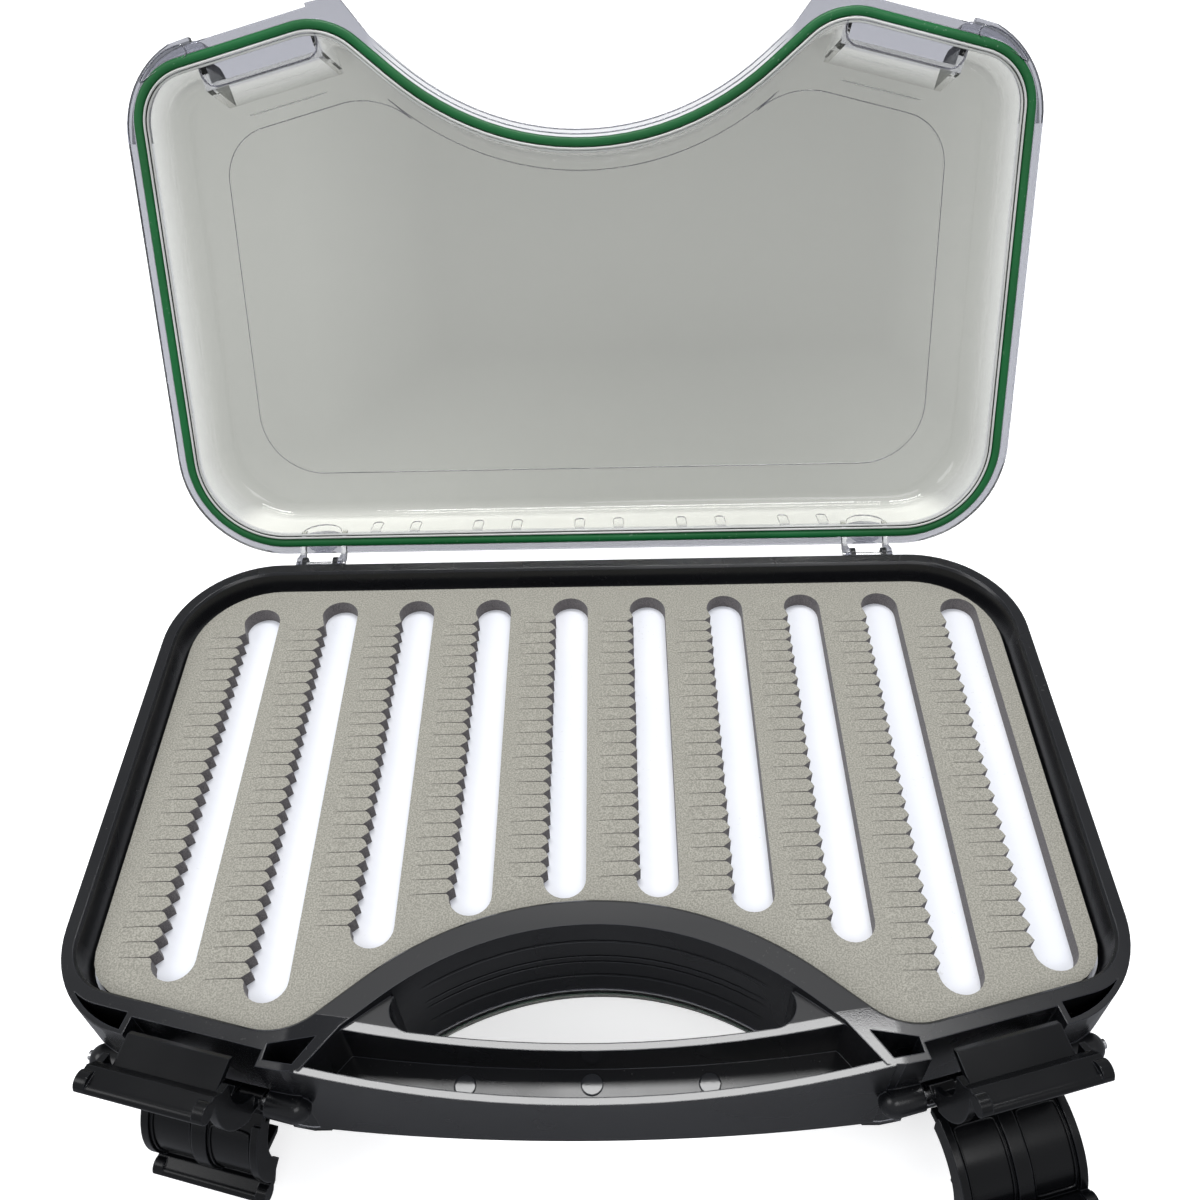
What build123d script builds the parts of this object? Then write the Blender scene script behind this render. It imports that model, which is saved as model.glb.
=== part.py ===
"""Double-sided waterproof fly box, open: a black carrying frame with a lid on each side.

Millimetres, +Z up. The box lies on its lower lid. The origin is the middle of that
lid's outer face, X runs along the hinges and -Y points to the handle.
"""

from build123d import *
import os
from math import cos, hypot, radians, sin, sqrt, tan

os.makedirs("parts", exist_ok=True)

# ---------------------------------------------------------------- driving dimensions
# Heights are measured up and down from the mid-plane of the frame.
MID = 51.0                 # height of the mid-plane above the table
FRAME_HALF = 23.0          # mid-plane to rim
LID_GAP = 1.0              # rim to the closed lid
LID_HEIGHT = 27.0          # lid from its mating face to its outer face

# The seal line is the middle of the cord round each lid, and every wall follows it.
SEAL_BACK = 95.4
SEAL_SIDE = 160.4
FRONT_SLOPE = 14.3         # degrees that the front edges fall towards the middle
SEAL_FRONT = 117.04        # distance of the sloping front edge from the origin
FLANK_SLOPE = 40.0         # degrees of the straight flank of the hand notch
SEAL_FLANK = 17.64         # distance of the flank from the origin
BACK_RADIUS = 35.0
CORNER_RADIUS = 22.0
PEAK_RADIUS = 25.0
NOTCH_RADIUS = 105.0

RIM_OUT = 4.6              # outer wall of the case outside the seal line
RIM_DRAFT = 0.3
LOBE_OUT = 7.4             # the front corners reach this far outside the seal line
LOBE_RADIUS = 36.0
TRAY_IN = 0.4              # tray wall inside the seal line, back and sides
TRAY_FRONT_IN = 4.4        # and along the front
TRAY_DRAFT = 0.6
RIM_CHAMFER = 0.8
WEB_HALF = 1.25            # half of the web that divides the two trays

# Foam insert with its slots, and the white board behind it
FOAM_TOP = 16.0
FOAM_THICK = 6.3
FOAM_IN = 3.9
FOAM_FRONT_IN = 6.0
BOARD_IN = 2.0
BOARD_FRONT_IN = 5.6
SLOT_PITCH = 30.45
SLOT_SHIFT = 6.0
SLOT_RADIUS = 7.0
SLOT_BACK = (81.8, 85.3, 85.3, 85.3, 85.3)
SLOT_FRONT = (-73.1, -80.3, -63.0, -52.3, -46.6)
TOOTH_PITCH = 5.3
TOOTH_ROOT = 8.2
TOOTH_TIP = 5.6

# Handle
HANDLE_FRONT = -111.3
HANDLE_REAR = -93.3
HANDLE_FRONT_RADIUS = 515.0
HANDLE_REAR_RADIUS = 570.0
HANDLE_WALL = 2.4
HANDLE_HALF = 15.0         # half height in the middle of the grip
HANDLE_END = 85.0          # where the grip has grown to the full height
HANDLE_WEB = 1.2
HAND_CORNER = 7.0

# Latch stations: a pin along each sloping front edge
PIN_RADIUS = 1.5
STATION_X = 117.5
STATION_Y = -98.8
PIN_SLOPE = 14.04
RECESS_HALF = 21.0
RECESS_DEPTH = 6.8
BOSS_RADIUS = 4.6
BOSS_INNER = 13.0
BOSS_OUTER = 18.0
PIN_CLEARANCE = 0.05

# Lever, drawn standing closed in its own frame: X along the pin, Y outwards, Z up
LEVER_HALF = 19.4
KNUCKLE_RADIUS = 3.2
KNUCKLE_GAP = 0.2
KNUCKLE_SPLIT = 11.5
PLATE = 2.4
PLATE_ROOT = (1.2, 4.6)
PLATE_BELLY = (9.2, 20.0)
PLATE_TIP = (5.0, 34.5)
RIM_PROUD = 1.3
RIM_WIDTH = 2.4
HOOK_HEIGHT = 27.3
HOOK_REACH = -6.3
HOOK_THICK = 2.2
LIP_OUT = 11.5
LIP_UP = 38.0
LIP_RADIUS = 1.7
CHEEK_RADIUS = 3.0
REST_OPEN = 10.0           # levers stand this far off their closed position
REST_WIDE = 55.0           # the one lever that is swung wide open

# Lids
FLANGE = 3.0
GROOVE_HALF = 1.85
GROOVE_DEPTH = 1.7
CORD_HALF = 1.7
CORD_PROUD = 0.7
WALL_OUT_IN = 0.4          # outer wall inside the seal line at the flange
WALL_LEAN = 2.6            # and how much further in at the outer face
WALL = 2.3
WALL_IN_IN = 2.8
OUTER_ROUND = 7.0
INNER_ROUND = 5.0
PANEL_RAISE = 0.5
PANEL_BACK_IN = 23.0
PANEL_FRONT_IN = 26.0
PANEL_NOTCH_IN = 10.0
POCKET_HALF = 19.8
POCKET_DEPTH = 17.0
POCKET_FLARE = 6.0
POCKET_CORNER = 6.0
EAR_DEPTH = 9.0
EAR_TAPER = 28.0

# Hinges
HINGE_Y = 103.2
HINGE_HALF = 19.8          # hinge axis above or below the mid-plane
HINGE_X = 111.5
HINGE_PIN = 1.0
EYE_RADIUS = 2.8
LID_LUG = 8.4
FRAME_LUG = 6.2
LUG_THICK = 1.8
LID_OPEN = 116.0

# Small ribs inside the back wall of each lid
RIB_PITCH = 42.0
RIB_SPACING = 16.0
RIB_SHIFT = 2.5
RIB_WIDTH = 4.0
RIB_TALL = 6.0
RIB_PROUD = 0.7

MIRROR_SIDES = (1, -1)


# ---------------------------------------------------------------- outlines
def level(height):
    """Plane at a height above the mid-plane."""
    return Plane.XY.offset(MID + height)


def crossing(first, second):
    """Point where two lines meet, each given by its outward angle and distance."""
    (angle_a, far_a), (angle_b, far_b) = first, second
    ax, ay = cos(radians(angle_a)), sin(radians(angle_a))
    bx, by = cos(radians(angle_b)), sin(radians(angle_b))
    det = ax * by - ay * bx
    return ((far_a * by - far_b * ay) / det, (ax * far_b - bx * far_a) / det)


def case_outline(inset, front=None, notch=None, radii=None):
    """Face bounded by the seal line moved inwards, by other amounts along the front."""
    front = inset if front is None else front
    notch = front if notch is None else notch
    if radii is None:
        radii = (BACK_RADIUS - inset, CORNER_RADIUS - front, PEAK_RADIUS - front)
    back_line = (90, SEAL_BACK - inset)
    side_line = (0, SEAL_SIDE - inset)
    slope_line = (-90 + FRONT_SLOPE, SEAL_FRONT - front)
    flank_line = (-90 - FLANK_SLOPE, SEAL_FLANK - notch)
    other_flank = (-90 + FLANK_SLOPE, SEAL_FLANK - notch)
    right = [
        crossing(back_line, side_line),
        crossing(side_line, slope_line),
        crossing(slope_line, flank_line),
    ]
    middle = crossing(flank_line, other_flank)
    left = [(-x, y) for x, y in reversed(right)]
    rounding = list(radii) + [NOTCH_RADIUS + notch] + list(reversed(radii))
    with BuildSketch() as drawn:
        with BuildLine():
            FilletPolyline(*right, middle, *left, radius=rounding, close=True)
        make_face()
    return drawn.sketch


def station_plane(side):
    """Plane of one latch station: x along the pin and outwards, y to the front."""
    along = Vector(side * cos(radians(PIN_SLOPE)), sin(radians(PIN_SLOPE)), 0)
    normal = Vector(0, 0, -side)
    return Plane(origin=(side * STATION_X, STATION_Y, MID), x_dir=along, z_dir=normal)


def station_box(side, half, back, front):
    """Rectangle in plan at a latch station, from one depth to another."""
    plane = station_plane(side)
    corners = [(-half, back), (half, back), (half, front), (-half, front)]
    spots = [plane.from_local_coords(Vector(x, y, 0)) for x, y in corners]
    with BuildSketch() as drawn:
        with BuildLine():
            Polyline(*[(spot.X, spot.Y) for spot in spots], close=True)
        make_face()
    return drawn.sketch


def disc(radius, front_edge):
    """Large disc that reaches forwards to front_edge on the centre line."""
    with BuildSketch() as drawn:
        with Locations((0, front_edge + radius)):
            Circle(radius)
    return drawn.sketch


def polygon(points, side=1):
    """Flat face through the points, mirrored for the left side."""
    with BuildSketch() as drawn:
        with BuildLine():
            Polyline(*[(side * x, y) for x, y in points], close=True)
        make_face()
    return drawn.sketch


front_disc = disc(HANDLE_FRONT_RADIUS, HANDLE_FRONT)
front_inner_disc = disc(HANDLE_FRONT_RADIUS - HANDLE_WALL, HANDLE_FRONT + HANDLE_WALL)
rear_disc = disc(HANDLE_REAR_RADIUS, HANDLE_REAR)
rear_inner_disc = disc(HANDLE_REAR_RADIUS + HANDLE_WALL, HANDLE_REAR - HANDLE_WALL)

# The box beside each end of the handle, and the triangular pocket in it
BOX_CORNERS = [(71.0, -87.0), (83.8, -103.5), (98.0, -103.5), (92.0, -88.0)]
TRIANGLE = [(94.3, -95.6), (80.5, -93.5), (86.1, -101.6), (95.0, -100.2)]


def body_outline(out):
    """Plan of the frame without its handle, out millimetres inside the full size."""
    rim = RIM_OUT - out
    corners = (BACK_RADIUS + rim, LOBE_RADIUS - out, 0.6)
    with BuildSketch() as drawn:
        add(case_outline(-rim, front=out - LOBE_OUT, notch=-rim, radii=corners))
        for side in MIRROR_SIDES:
            add(polygon(BOX_CORNERS, side))
        add(front_disc, mode=Mode.INTERSECT)
    return drawn.sketch


with BuildSketch() as hand_opening:
    with Locations((0, -74)):
        Rectangle(160, 44)
    add(rear_disc, mode=Mode.INTERSECT)
    add(body_outline(0), mode=Mode.SUBTRACT)
    # Shrinking and growing again rounds the two sharp ends
    offset(amount=-HAND_CORNER, kind=Kind.INTERSECTION)
    offset(amount=HAND_CORNER, kind=Kind.ARC)

with BuildSketch() as handle_plan:
    with Locations((0, -98)):
        Rectangle(2 * HANDLE_END + 3, 36)
    add(front_disc, mode=Mode.INTERSECT)
    add(hand_opening.sketch, mode=Mode.SUBTRACT)
    add(body_outline(1.2), mode=Mode.SUBTRACT)

with BuildSketch() as handle_trough:
    with Locations((0, -98)):
        Rectangle(2 * HANDLE_END, 30)
    add(front_inner_disc, mode=Mode.INTERSECT)
    add(rear_inner_disc, mode=Mode.SUBTRACT)
    add(body_outline(0), mode=Mode.SUBTRACT)
    for end in MIRROR_SIDES:
        add(polygon([(73.2, -90.0), (83.4, -102.3), (90.0, -104.0), (90, -80)], end), mode=Mode.SUBTRACT)

corner_pocket_radii = (BACK_RADIUS + 2.6, LOBE_RADIUS - 2.0, 0.6)
corner_inner_radii = (BACK_RADIUS + 2.1, 19.0, 0.6)
with BuildSketch() as crescents:
    add(case_outline(-2.6, front=-5.4, notch=-2.6, radii=corner_pocket_radii))
    add(case_outline(-2.1, front=-0.1, notch=-4.0, radii=corner_inner_radii), mode=Mode.SUBTRACT)
    for side in MIRROR_SIDES:
        keep_out = station_box(side, RECESS_HALF + 1.8, -40, 40)
        add(keep_out, mode=Mode.SUBTRACT)
    with Locations((0, -90)):
        Rectangle(232, 80, mode=Mode.SUBTRACT)
    with Locations((0, 60)):
        Rectangle(400, 260, mode=Mode.SUBTRACT)

# ---------------------------------------------------------------- frame
with BuildPart() as frame:
    # Outer walls lean in from the parting line
    with BuildSketch(level(0)):
        add(body_outline(0))
    with BuildSketch(level(FRAME_HALF)):
        add(body_outline(RIM_DRAFT))
    loft(ruled=True)
    # Tray for the foam
    with BuildSketch(level(WEB_HALF)):
        add(case_outline(TRAY_IN + TRAY_DRAFT, front=TRAY_FRONT_IN + TRAY_DRAFT))
    with BuildSketch(level(FRAME_HALF)):
        add(case_outline(TRAY_IN, front=TRAY_FRONT_IN))
    loft(ruled=True, mode=Mode.SUBTRACT)
    # Bevel round the mouth of the tray
    with BuildSketch(level(FRAME_HALF - 2 * RIM_CHAMFER)):
        add(case_outline(TRAY_IN + RIM_CHAMFER, front=TRAY_FRONT_IN + RIM_CHAMFER))
    with BuildSketch(level(FRAME_HALF)):
        add(case_outline(TRAY_IN - RIM_CHAMFER, front=TRAY_FRONT_IN - RIM_CHAMFER))
    loft(ruled=True, mode=Mode.SUBTRACT)
    # Pockets in the corners and beside the handle
    with BuildSketch(level(WEB_HALF)):
        add(crescents.sketch)
        for side in MIRROR_SIDES:
            add(polygon(TRIANGLE, side))
    extrude(amount=FRAME_HALF, mode=Mode.SUBTRACT)
    # Gaps for the levers
    with BuildSketch(level(0)):
        for side in MIRROR_SIDES:
            add(station_box(side, RECESS_HALF, -RECESS_DEPTH, 40))
    extrude(amount=FRAME_HALF, mode=Mode.SUBTRACT)

# The grip: two walls and a web, lower in the middle than at the ends
GRIP_RADIUS = (HANDLE_END**2 + (FRAME_HALF - HANDLE_HALF)**2) / (2 * (FRAME_HALF - HANDLE_HALF))
with BuildPart() as grip:
    with BuildSketch(level(0)):
        add(handle_plan.sketch)
    extrude(amount=FRAME_HALF)
    with BuildSketch(level(HANDLE_WEB)):
        add(handle_trough.sketch)
    extrude(amount=FRAME_HALF, mode=Mode.SUBTRACT)
    with BuildSketch(Plane.XZ.offset(80)):
        with Locations((0, MID + HANDLE_HALF + GRIP_RADIUS)):
            Circle(GRIP_RADIUS)
    extrude(amount=40, mode=Mode.SUBTRACT)

# Pin bosses: rounded bars on the front skin, either side of each gap
boss_ends = ((RECESS_HALF, RECESS_HALF + BOSS_OUTER), (-RECESS_HALF - BOSS_INNER, -RECESS_HALF))
with BuildPart() as bosses:
    for side in MIRROR_SIDES:
        base = station_plane(side)
        for near, far in boss_ends:
            round_end = near + BOSS_RADIUS if near < 0 else far - BOSS_RADIUS
            flat_end = far if near < 0 else near
            centre = base.from_local_coords(Vector(round_end, 0, 0))
            with Locations(centre):
                Sphere(BOSS_RADIUS)
            mouth = base.from_local_coords(Vector(flat_end, 0, 0))
            bar = Plane(origin=mouth, z_dir=centre - mouth)
            with BuildSketch(bar):
                Circle(BOSS_RADIUS)
            extrude(amount=(centre - mouth).length)

with BuildPart() as frame_whole:
    add(frame.part)
    add(grip.part)
    mirror(about=level(0))
    add(bosses.part)
    # Hinge lugs on the back wall
    for side in MIRROR_SIDES:
        for lug in (-FRAME_LUG, FRAME_LUG):
            for face in MIRROR_SIDES:
                axis_z = MID + face * HINGE_HALF
                root_z = axis_z - face * 2.4
                with BuildSketch(Plane.YZ.offset(side * HINGE_X + lug - LUG_THICK / 2)):
                    with Locations((HINGE_Y, axis_z)):
                        Circle(EYE_RADIUS)
                    with BuildLine():
                        Polyline(
                            (SEAL_BACK + RIM_OUT - 1.2, axis_z + face * 2.0),
                            (HINGE_Y, axis_z + face * 2.0),
                            (HINGE_Y + EYE_RADIUS * 0.7, axis_z - face * EYE_RADIUS * 0.7),
                            (SEAL_BACK + RIM_OUT - 1.2, axis_z - face * 9.0),
                            close=True,
                        )
                    make_face()
                extrude(amount=LUG_THICK)
    # Bores for the hinge pins and the latch pins
    for side in MIRROR_SIDES:
        for face in MIRROR_SIDES:
            with BuildSketch(Plane.YZ.offset(side * HINGE_X - 12)):
                with Locations((HINGE_Y, MID + face * HINGE_HALF)):
                    Circle(HINGE_PIN + 0.01)
            extrude(amount=24, mode=Mode.SUBTRACT)
        base = station_plane(side)
        inner_stop = base.from_local_coords(Vector(-RECESS_HALF - 9, 0, 0))
        outwards = Plane(origin=inner_stop, z_dir=base.x_dir)
        with BuildSketch(outwards):
            Circle(PIN_RADIUS + 0.01)
        extrude(amount=2 * RECESS_HALF + BOSS_OUTER + 12, mode=Mode.SUBTRACT)
frame_whole.part.label = "frame"
print("frame", frame_whole.part.volume, len(frame_whole.part.solids()))
export_step(frame_whole.part, "parts/frame.step")

# ---------------------------------------------------------------- foam inserts
def toothed_slot(number):
    """Slot of the foam: straight on its right, saw-toothed on its left."""
    centre = (number - 4.5) * SLOT_PITCH + SLOT_SHIFT
    row = min(number, 9 - number)
    back = SLOT_BACK[row] - SLOT_RADIUS
    front = SLOT_FRONT[row] + SLOT_RADIUS
    teeth = int((back - front) // TOOTH_PITCH)
    start = front + 1.0
    saw = []
    for tooth in range(teeth):
        y = start + tooth * TOOTH_PITCH
        saw.append((centre - TOOTH_ROOT, y))
        saw.append((centre - TOOTH_TIP, y + TOOTH_PITCH / 2))
    with BuildSketch() as drawn:
        with BuildLine():
            Polyline((centre - SLOT_RADIUS, front), *saw, (centre - SLOT_RADIUS, back))
            ThreePointArc(
                (centre - SLOT_RADIUS, back), (centre, back + SLOT_RADIUS), (centre + SLOT_RADIUS, back)
            )
            Line((centre + SLOT_RADIUS, back), (centre + SLOT_RADIUS, front))
            ThreePointArc(
                (centre + SLOT_RADIUS, front), (centre, front - SLOT_RADIUS), (centre - SLOT_RADIUS, front)
            )
        make_face()
    return drawn.sketch


slots = [toothed_slot(number) for number in range(10)]
foam_bottom_height = FOAM_TOP - FOAM_THICK
with BuildPart() as foam_top:
    with BuildSketch(level(foam_bottom_height)):
        add(case_outline(FOAM_IN, front=FOAM_FRONT_IN))
        for slot in slots:
            add(slot, mode=Mode.SUBTRACT)
    extrude(amount=FOAM_THICK)
foam_top.part.label = "foam_top"
export_step(foam_top.part, "parts/foam_top.step")

with BuildPart() as foam_bottom:
    add(foam_top.part.mirror(level(0)))
foam_bottom.part.label = "foam_bottom"
export_step(foam_bottom.part, "parts/foam_bottom.step")

# ---------------------------------------------------------------- white boards behind the foam
for board_name, board_base in (("backing_top", WEB_HALF), ("backing_bottom", -foam_bottom_height)):
    with BuildPart() as backing:
        with BuildSketch(level(board_base)):
            add(case_outline(BOARD_IN, front=BOARD_FRONT_IN))
        extrude(amount=foam_bottom_height - WEB_HALF)
    backing.part.label = board_name
    export_step(backing.part, f"parts/{board_name}.step")


# ---------------------------------------------------------------- lever
def circle_through(first, second, third):
    """Centre and radius of the circle through three points."""
    (ax, ay), (bx, by), (cx, cy) = first, second, third
    det = 2 * (ax * (by - cy) + bx * (cy - ay) + cx * (ay - by))
    a2, b2, c2 = ax * ax + ay * ay, bx * bx + by * by, cx * cx + cy * cy
    ux = (a2 * (by - cy) + b2 * (cy - ay) + c2 * (ay - by)) / det
    uy = (a2 * (cx - bx) + b2 * (ax - cx) + c2 * (bx - ax)) / det
    return (ux, uy), hypot(ax - ux, ay - uy)


BOW_CENTRE, BOW_RADIUS = circle_through(PLATE_ROOT, PLATE_BELLY, PLATE_TIP)
bow_middle = Vector(*BOW_CENTRE)
root_angle = (Vector(*PLATE_ROOT) - bow_middle).get_signed_angle(Vector(1, 0), Vector(0, 0, -1))
tip_angle = (Vector(*PLATE_TIP) - bow_middle).get_signed_angle(Vector(1, 0), Vector(0, 0, -1))


def bow_point(share, offset):
    """Point a share of the way up the bowed plate, offset outwards from its middle."""
    angle = radians(root_angle + share * (tip_angle - root_angle))
    reach = BOW_RADIUS + offset
    return (BOW_CENTRE[0] + reach * cos(angle), BOW_CENTRE[1] + reach * sin(angle))


def bow_band(inner, outer, low=0.0, high=1.0):
    """Face of the bowed section between two offsets and two shares of its length."""
    middle = (low + high) / 2
    with BuildSketch() as drawn:
        with BuildLine():
            ThreePointArc(bow_point(low, inner), bow_point(middle, inner), bow_point(high, inner))
            Line(bow_point(high, inner), bow_point(high, outer))
            ThreePointArc(bow_point(high, outer), bow_point(middle, outer), bow_point(low, outer))
            Line(bow_point(low, outer), bow_point(low, inner))
        make_face()
    return drawn.sketch


plate_face = bow_band(-PLATE / 2, PLATE / 2)
rim_face = bow_band(0, PLATE / 2 + RIM_PROUD, 0.12, 1.0)
cheek_face = bow_band(-PLATE / 2 - 3.4, 0, 0.10, 1.0)
hook_root = bow_point(0.79, 0)
lip_spots = ((-LEVER_HALF, 2 * LEVER_HALF, LIP_RADIUS),)

with BuildPart() as lever:
    with BuildSketch(Plane.YZ.offset(-LEVER_HALF)):
        add(plate_face)
    extrude(amount=2 * LEVER_HALF)
    # Raised rims at both ends and along the middle leave two sunk panels
    rims = ((-LEVER_HALF, RIM_WIDTH), (-RIM_WIDTH, 2 * RIM_WIDTH), (LEVER_HALF - RIM_WIDTH, RIM_WIDTH))
    for start, width in rims:
        with BuildSketch(Plane.YZ.offset(start)):
            add(rim_face)
        extrude(amount=width)
    # End flanges stiffen the inner side
    for start in (-LEVER_HALF, LEVER_HALF - 2.0):
        with BuildSketch(Plane.YZ.offset(start)):
            add(cheek_face)
        extrude(amount=2.0)
    # Hook that catches the lid's flange
    with BuildSketch(Plane.YZ.offset(-16)):
        with BuildLine():
            Polyline(
                (hook_root[0], HOOK_HEIGHT),
                (HOOK_REACH + 0.6, HOOK_HEIGHT),
                (HOOK_REACH, HOOK_HEIGHT + 0.6),
                (HOOK_REACH + 1.2, HOOK_HEIGHT + HOOK_THICK),
                (hook_root[0], HOOK_HEIGHT + HOOK_THICK + 0.8),
                close=True,
            )
        make_face()
    extrude(amount=32)
    # Thumb lip with a rounded edge and round cheeks
    with BuildSketch(Plane.YZ.offset(-LEVER_HALF)):
        with BuildLine():
            Polyline(
                bow_point(1.0, -PLATE / 2),
                (PLATE_TIP[0] + 0.8, PLATE_TIP[1] + 3.2),
                (LIP_OUT, LIP_UP + LIP_RADIUS),
                (LIP_OUT, LIP_UP - LIP_RADIUS),
                (PLATE_TIP[0] + 3.4, PLATE_TIP[1] + 0.4),
                bow_point(1.0, PLATE / 2),
                close=True,
            )
        make_face()
        with Locations((LIP_OUT, LIP_UP)):
            Circle(LIP_RADIUS)
    extrude(amount=2 * LEVER_HALF)
    for start in (-LEVER_HALF, LEVER_HALF - 3.4):
        with BuildSketch(Plane.YZ.offset(start)):
            with Locations((LIP_OUT - 1.4, LIP_UP - 0.2)):
                Circle(CHEEK_RADIUS)
        extrude(amount=3.4)
    # Knuckles that interleave with those of the opposite lever
    spans = (
        (-KNUCKLE_SPLIT + KNUCKLE_GAP, -KNUCKLE_GAP),
        (KNUCKLE_SPLIT + KNUCKLE_GAP, LEVER_HALF),
    )
    for start, end in spans:
        with BuildSketch(Plane.YZ.offset(start)):
            Circle(KNUCKLE_RADIUS)
            with BuildLine():
                Polyline((-1.6, 1.0), (-1.2, 6.4), (2.6, 6.4), (2.4, 1.0), close=True)
            make_face()
        extrude(amount=end - start)
    with BuildSketch(Plane.YZ.offset(-LEVER_HALF)):
        Circle(PIN_RADIUS + PIN_CLEARANCE)
    extrude(amount=2 * LEVER_HALF, mode=Mode.SUBTRACT)
print("lever solids", len(lever.part.solids()), lever.part.volume)


def lever_seat(side, face):
    """Location of a closed lever: face 1 stands up, face -1 hangs down."""
    out = Vector(side * sin(radians(PIN_SLOPE)), -cos(radians(PIN_SLOPE)), 0)
    up = Vector(0, 0, face)
    return Plane(origin=(side * STATION_X, STATION_Y, MID), x_dir=out.cross(up), z_dir=up).location


for side, side_name in ((-1, "left"), (1, "right")):
    for face, face_name in ((1, "top"), (-1, "bottom")):
        opened = REST_WIDE if (side, face) == (1, -1) else REST_OPEN
        with BuildPart() as placed:
            add(lever_seat(side, face) * lever.part.rotate(Axis.X, -opened))
        placed.part.label = f"{side_name}_{face_name}_lever"
        export_step(placed.part, f"parts/{side_name}_{face_name}_lever.step")
    with BuildPart() as latch_pin:
        base = station_plane(side)
        inner_end = base.from_local_coords(Vector(-RECESS_HALF - 9, 0, 0))
        with BuildSketch(Plane(origin=inner_end, z_dir=base.x_dir)):
            Circle(PIN_RADIUS)
        extrude(amount=2 * RECESS_HALF + 9 + BOSS_OUTER + 0.6)
    latch_pin.part.label = f"{side_name}_latch_pin"
    export_step(latch_pin.part, f"parts/{side_name}_latch_pin.step")

# ---------------------------------------------------------------- lid
MATING = FRAME_HALF + LID_GAP
FACE = MATING + LID_HEIGHT


def flange_plan():
    """Plan of the lid's flange: follows the frame, but leaves the levers free."""
    with BuildSketch() as drawn:
        add(body_outline(0))
        for side in MIRROR_SIDES:
            add(station_box(side, RECESS_HALF + 0.6, -RECESS_DEPTH - 4, 40), mode=Mode.SUBTRACT)
            add(station_box(side, RECESS_HALF + 2, -RECESS_DEPTH - 8, -3.1))
    return drawn.sketch


def pocket(side, half, depth, grow):
    """Finger pocket over a hook, in plan, grown for the wall round it."""
    return station_box(side, half + grow, -depth - grow, 20)


flange_face = flange_plan()
with BuildSketch() as ears:
    add(flange_face)
    add(case_outline(-RIM_OUT), mode=Mode.SUBTRACT)

with BuildPart() as lid:
    with BuildSketch(level(MATING)):
        add(flange_face)
    extrude(amount=FLANGE)
    # Wall that leans in towards the outer face
    with BuildSketch(level(MATING + FLANGE - 0.5)):
        add(case_outline(WALL_OUT_IN))
    with BuildSketch(level(FACE - PANEL_RAISE)):
        add(case_outline(WALL_OUT_IN + WALL_LEAN))
    loft(ruled=True)
    outer_loop = lid.faces().sort_by(Axis.Z)[-1].edges()
    fillet(outer_loop, OUTER_ROUND)
print("lid outer", lid.part.volume)

with BuildPart() as lid_cavity:
    with BuildSketch(level(MATING)):
        add(case_outline(WALL_IN_IN))
    with BuildSketch(level(FACE - PANEL_RAISE - WALL)):
        add(case_outline(WALL_IN_IN + WALL_LEAN))
    loft(ruled=True)
    inner_loop = lid_cavity.faces().sort_by(Axis.Z)[-1].edges()
    fillet(inner_loop, INNER_ROUND)
print("cavity", lid_cavity.part.volume)


def pocket_solid(grow):
    """Both finger pockets as solids that widen towards the outer face."""
    with BuildPart() as scoop:
        for side in MIRROR_SIDES:
            with BuildSketch(level(MATING + FLANGE - grow)):
                add(pocket(side, POCKET_HALF, POCKET_DEPTH, grow))
            with BuildSketch(level(FACE + 3)):
                add(pocket(side, POCKET_HALF + 1, POCKET_DEPTH + POCKET_FLARE, grow))
            loft(ruled=True)
    return scoop.part


with BuildPart() as lid_whole:
    add(lid.part)
    add(pocket_solid(0), mode=Mode.SUBTRACT)
    add(lid_cavity.part - pocket_solid(WALL), mode=Mode.SUBTRACT)
    # Groove for the sealing cord
    with BuildSketch(level(MATING)):
        add(case_outline(-GROOVE_HALF))
        add(case_outline(GROOVE_HALF), mode=Mode.SUBTRACT)
    extrude(amount=GROOVE_DEPTH, mode=Mode.SUBTRACT)
    # Raised panel on the outer face
    panel_radii = (25.0, 20.0, 30.0)
    with BuildSketch(level(FACE - PANEL_RAISE)):
        add(case_outline(PANEL_BACK_IN, front=PANEL_FRONT_IN, notch=PANEL_NOTCH_IN, radii=panel_radii))
    extrude(amount=PANEL_RAISE)
    # Hinge lugs reach down behind the frame to the pin
    axis_z = MID + HINGE_HALF
    for side in MIRROR_SIDES:
        for lug in (-LID_LUG, LID_LUG):
            with BuildSketch(Plane.YZ.offset(side * HINGE_X + lug - LUG_THICK / 2)):
                with Locations((HINGE_Y, axis_z)):
                    Circle(EYE_RADIUS)
                with BuildLine():
                    Polyline(
                        (HINGE_Y - EYE_RADIUS + 0.2, axis_z),
                        (SEAL_BACK + RIM_OUT + 0.5, MID + MATING),
                        (SEAL_BACK + 1.0, MID + MATING + 1.9),
                        (SEAL_BACK - 1.5, MID + MATING + 9.0),
                        (HINGE_Y, MID + MATING + FLANGE),
                        (HINGE_Y + EYE_RADIUS - 0.2, axis_z),
                        close=True,
                    )
                make_face()
            extrude(amount=LUG_THICK)
        with BuildSketch(Plane.YZ.offset(side * HINGE_X - 12)):
            with Locations((HINGE_Y, axis_z)):
                Circle(HINGE_PIN + PIN_CLEARANCE)
        extrude(amount=24, mode=Mode.SUBTRACT)
    # Small ribs inside the back wall
    for pair in range(-2, 3):
        for half in MIRROR_SIDES:
            x = RIB_SHIFT + pair * RIB_PITCH + half * RIB_SPACING / 2
            with BuildSketch(level(MATING + FLANGE)):
                with Locations((x, SEAL_BACK - WALL_IN_IN)):
                    Rectangle(RIB_WIDTH, 2 * RIB_PROUD)
            extrude(amount=RIB_TALL)
print("lid whole", lid_whole.part.volume, len(lid_whole.part.solids()))

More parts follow.
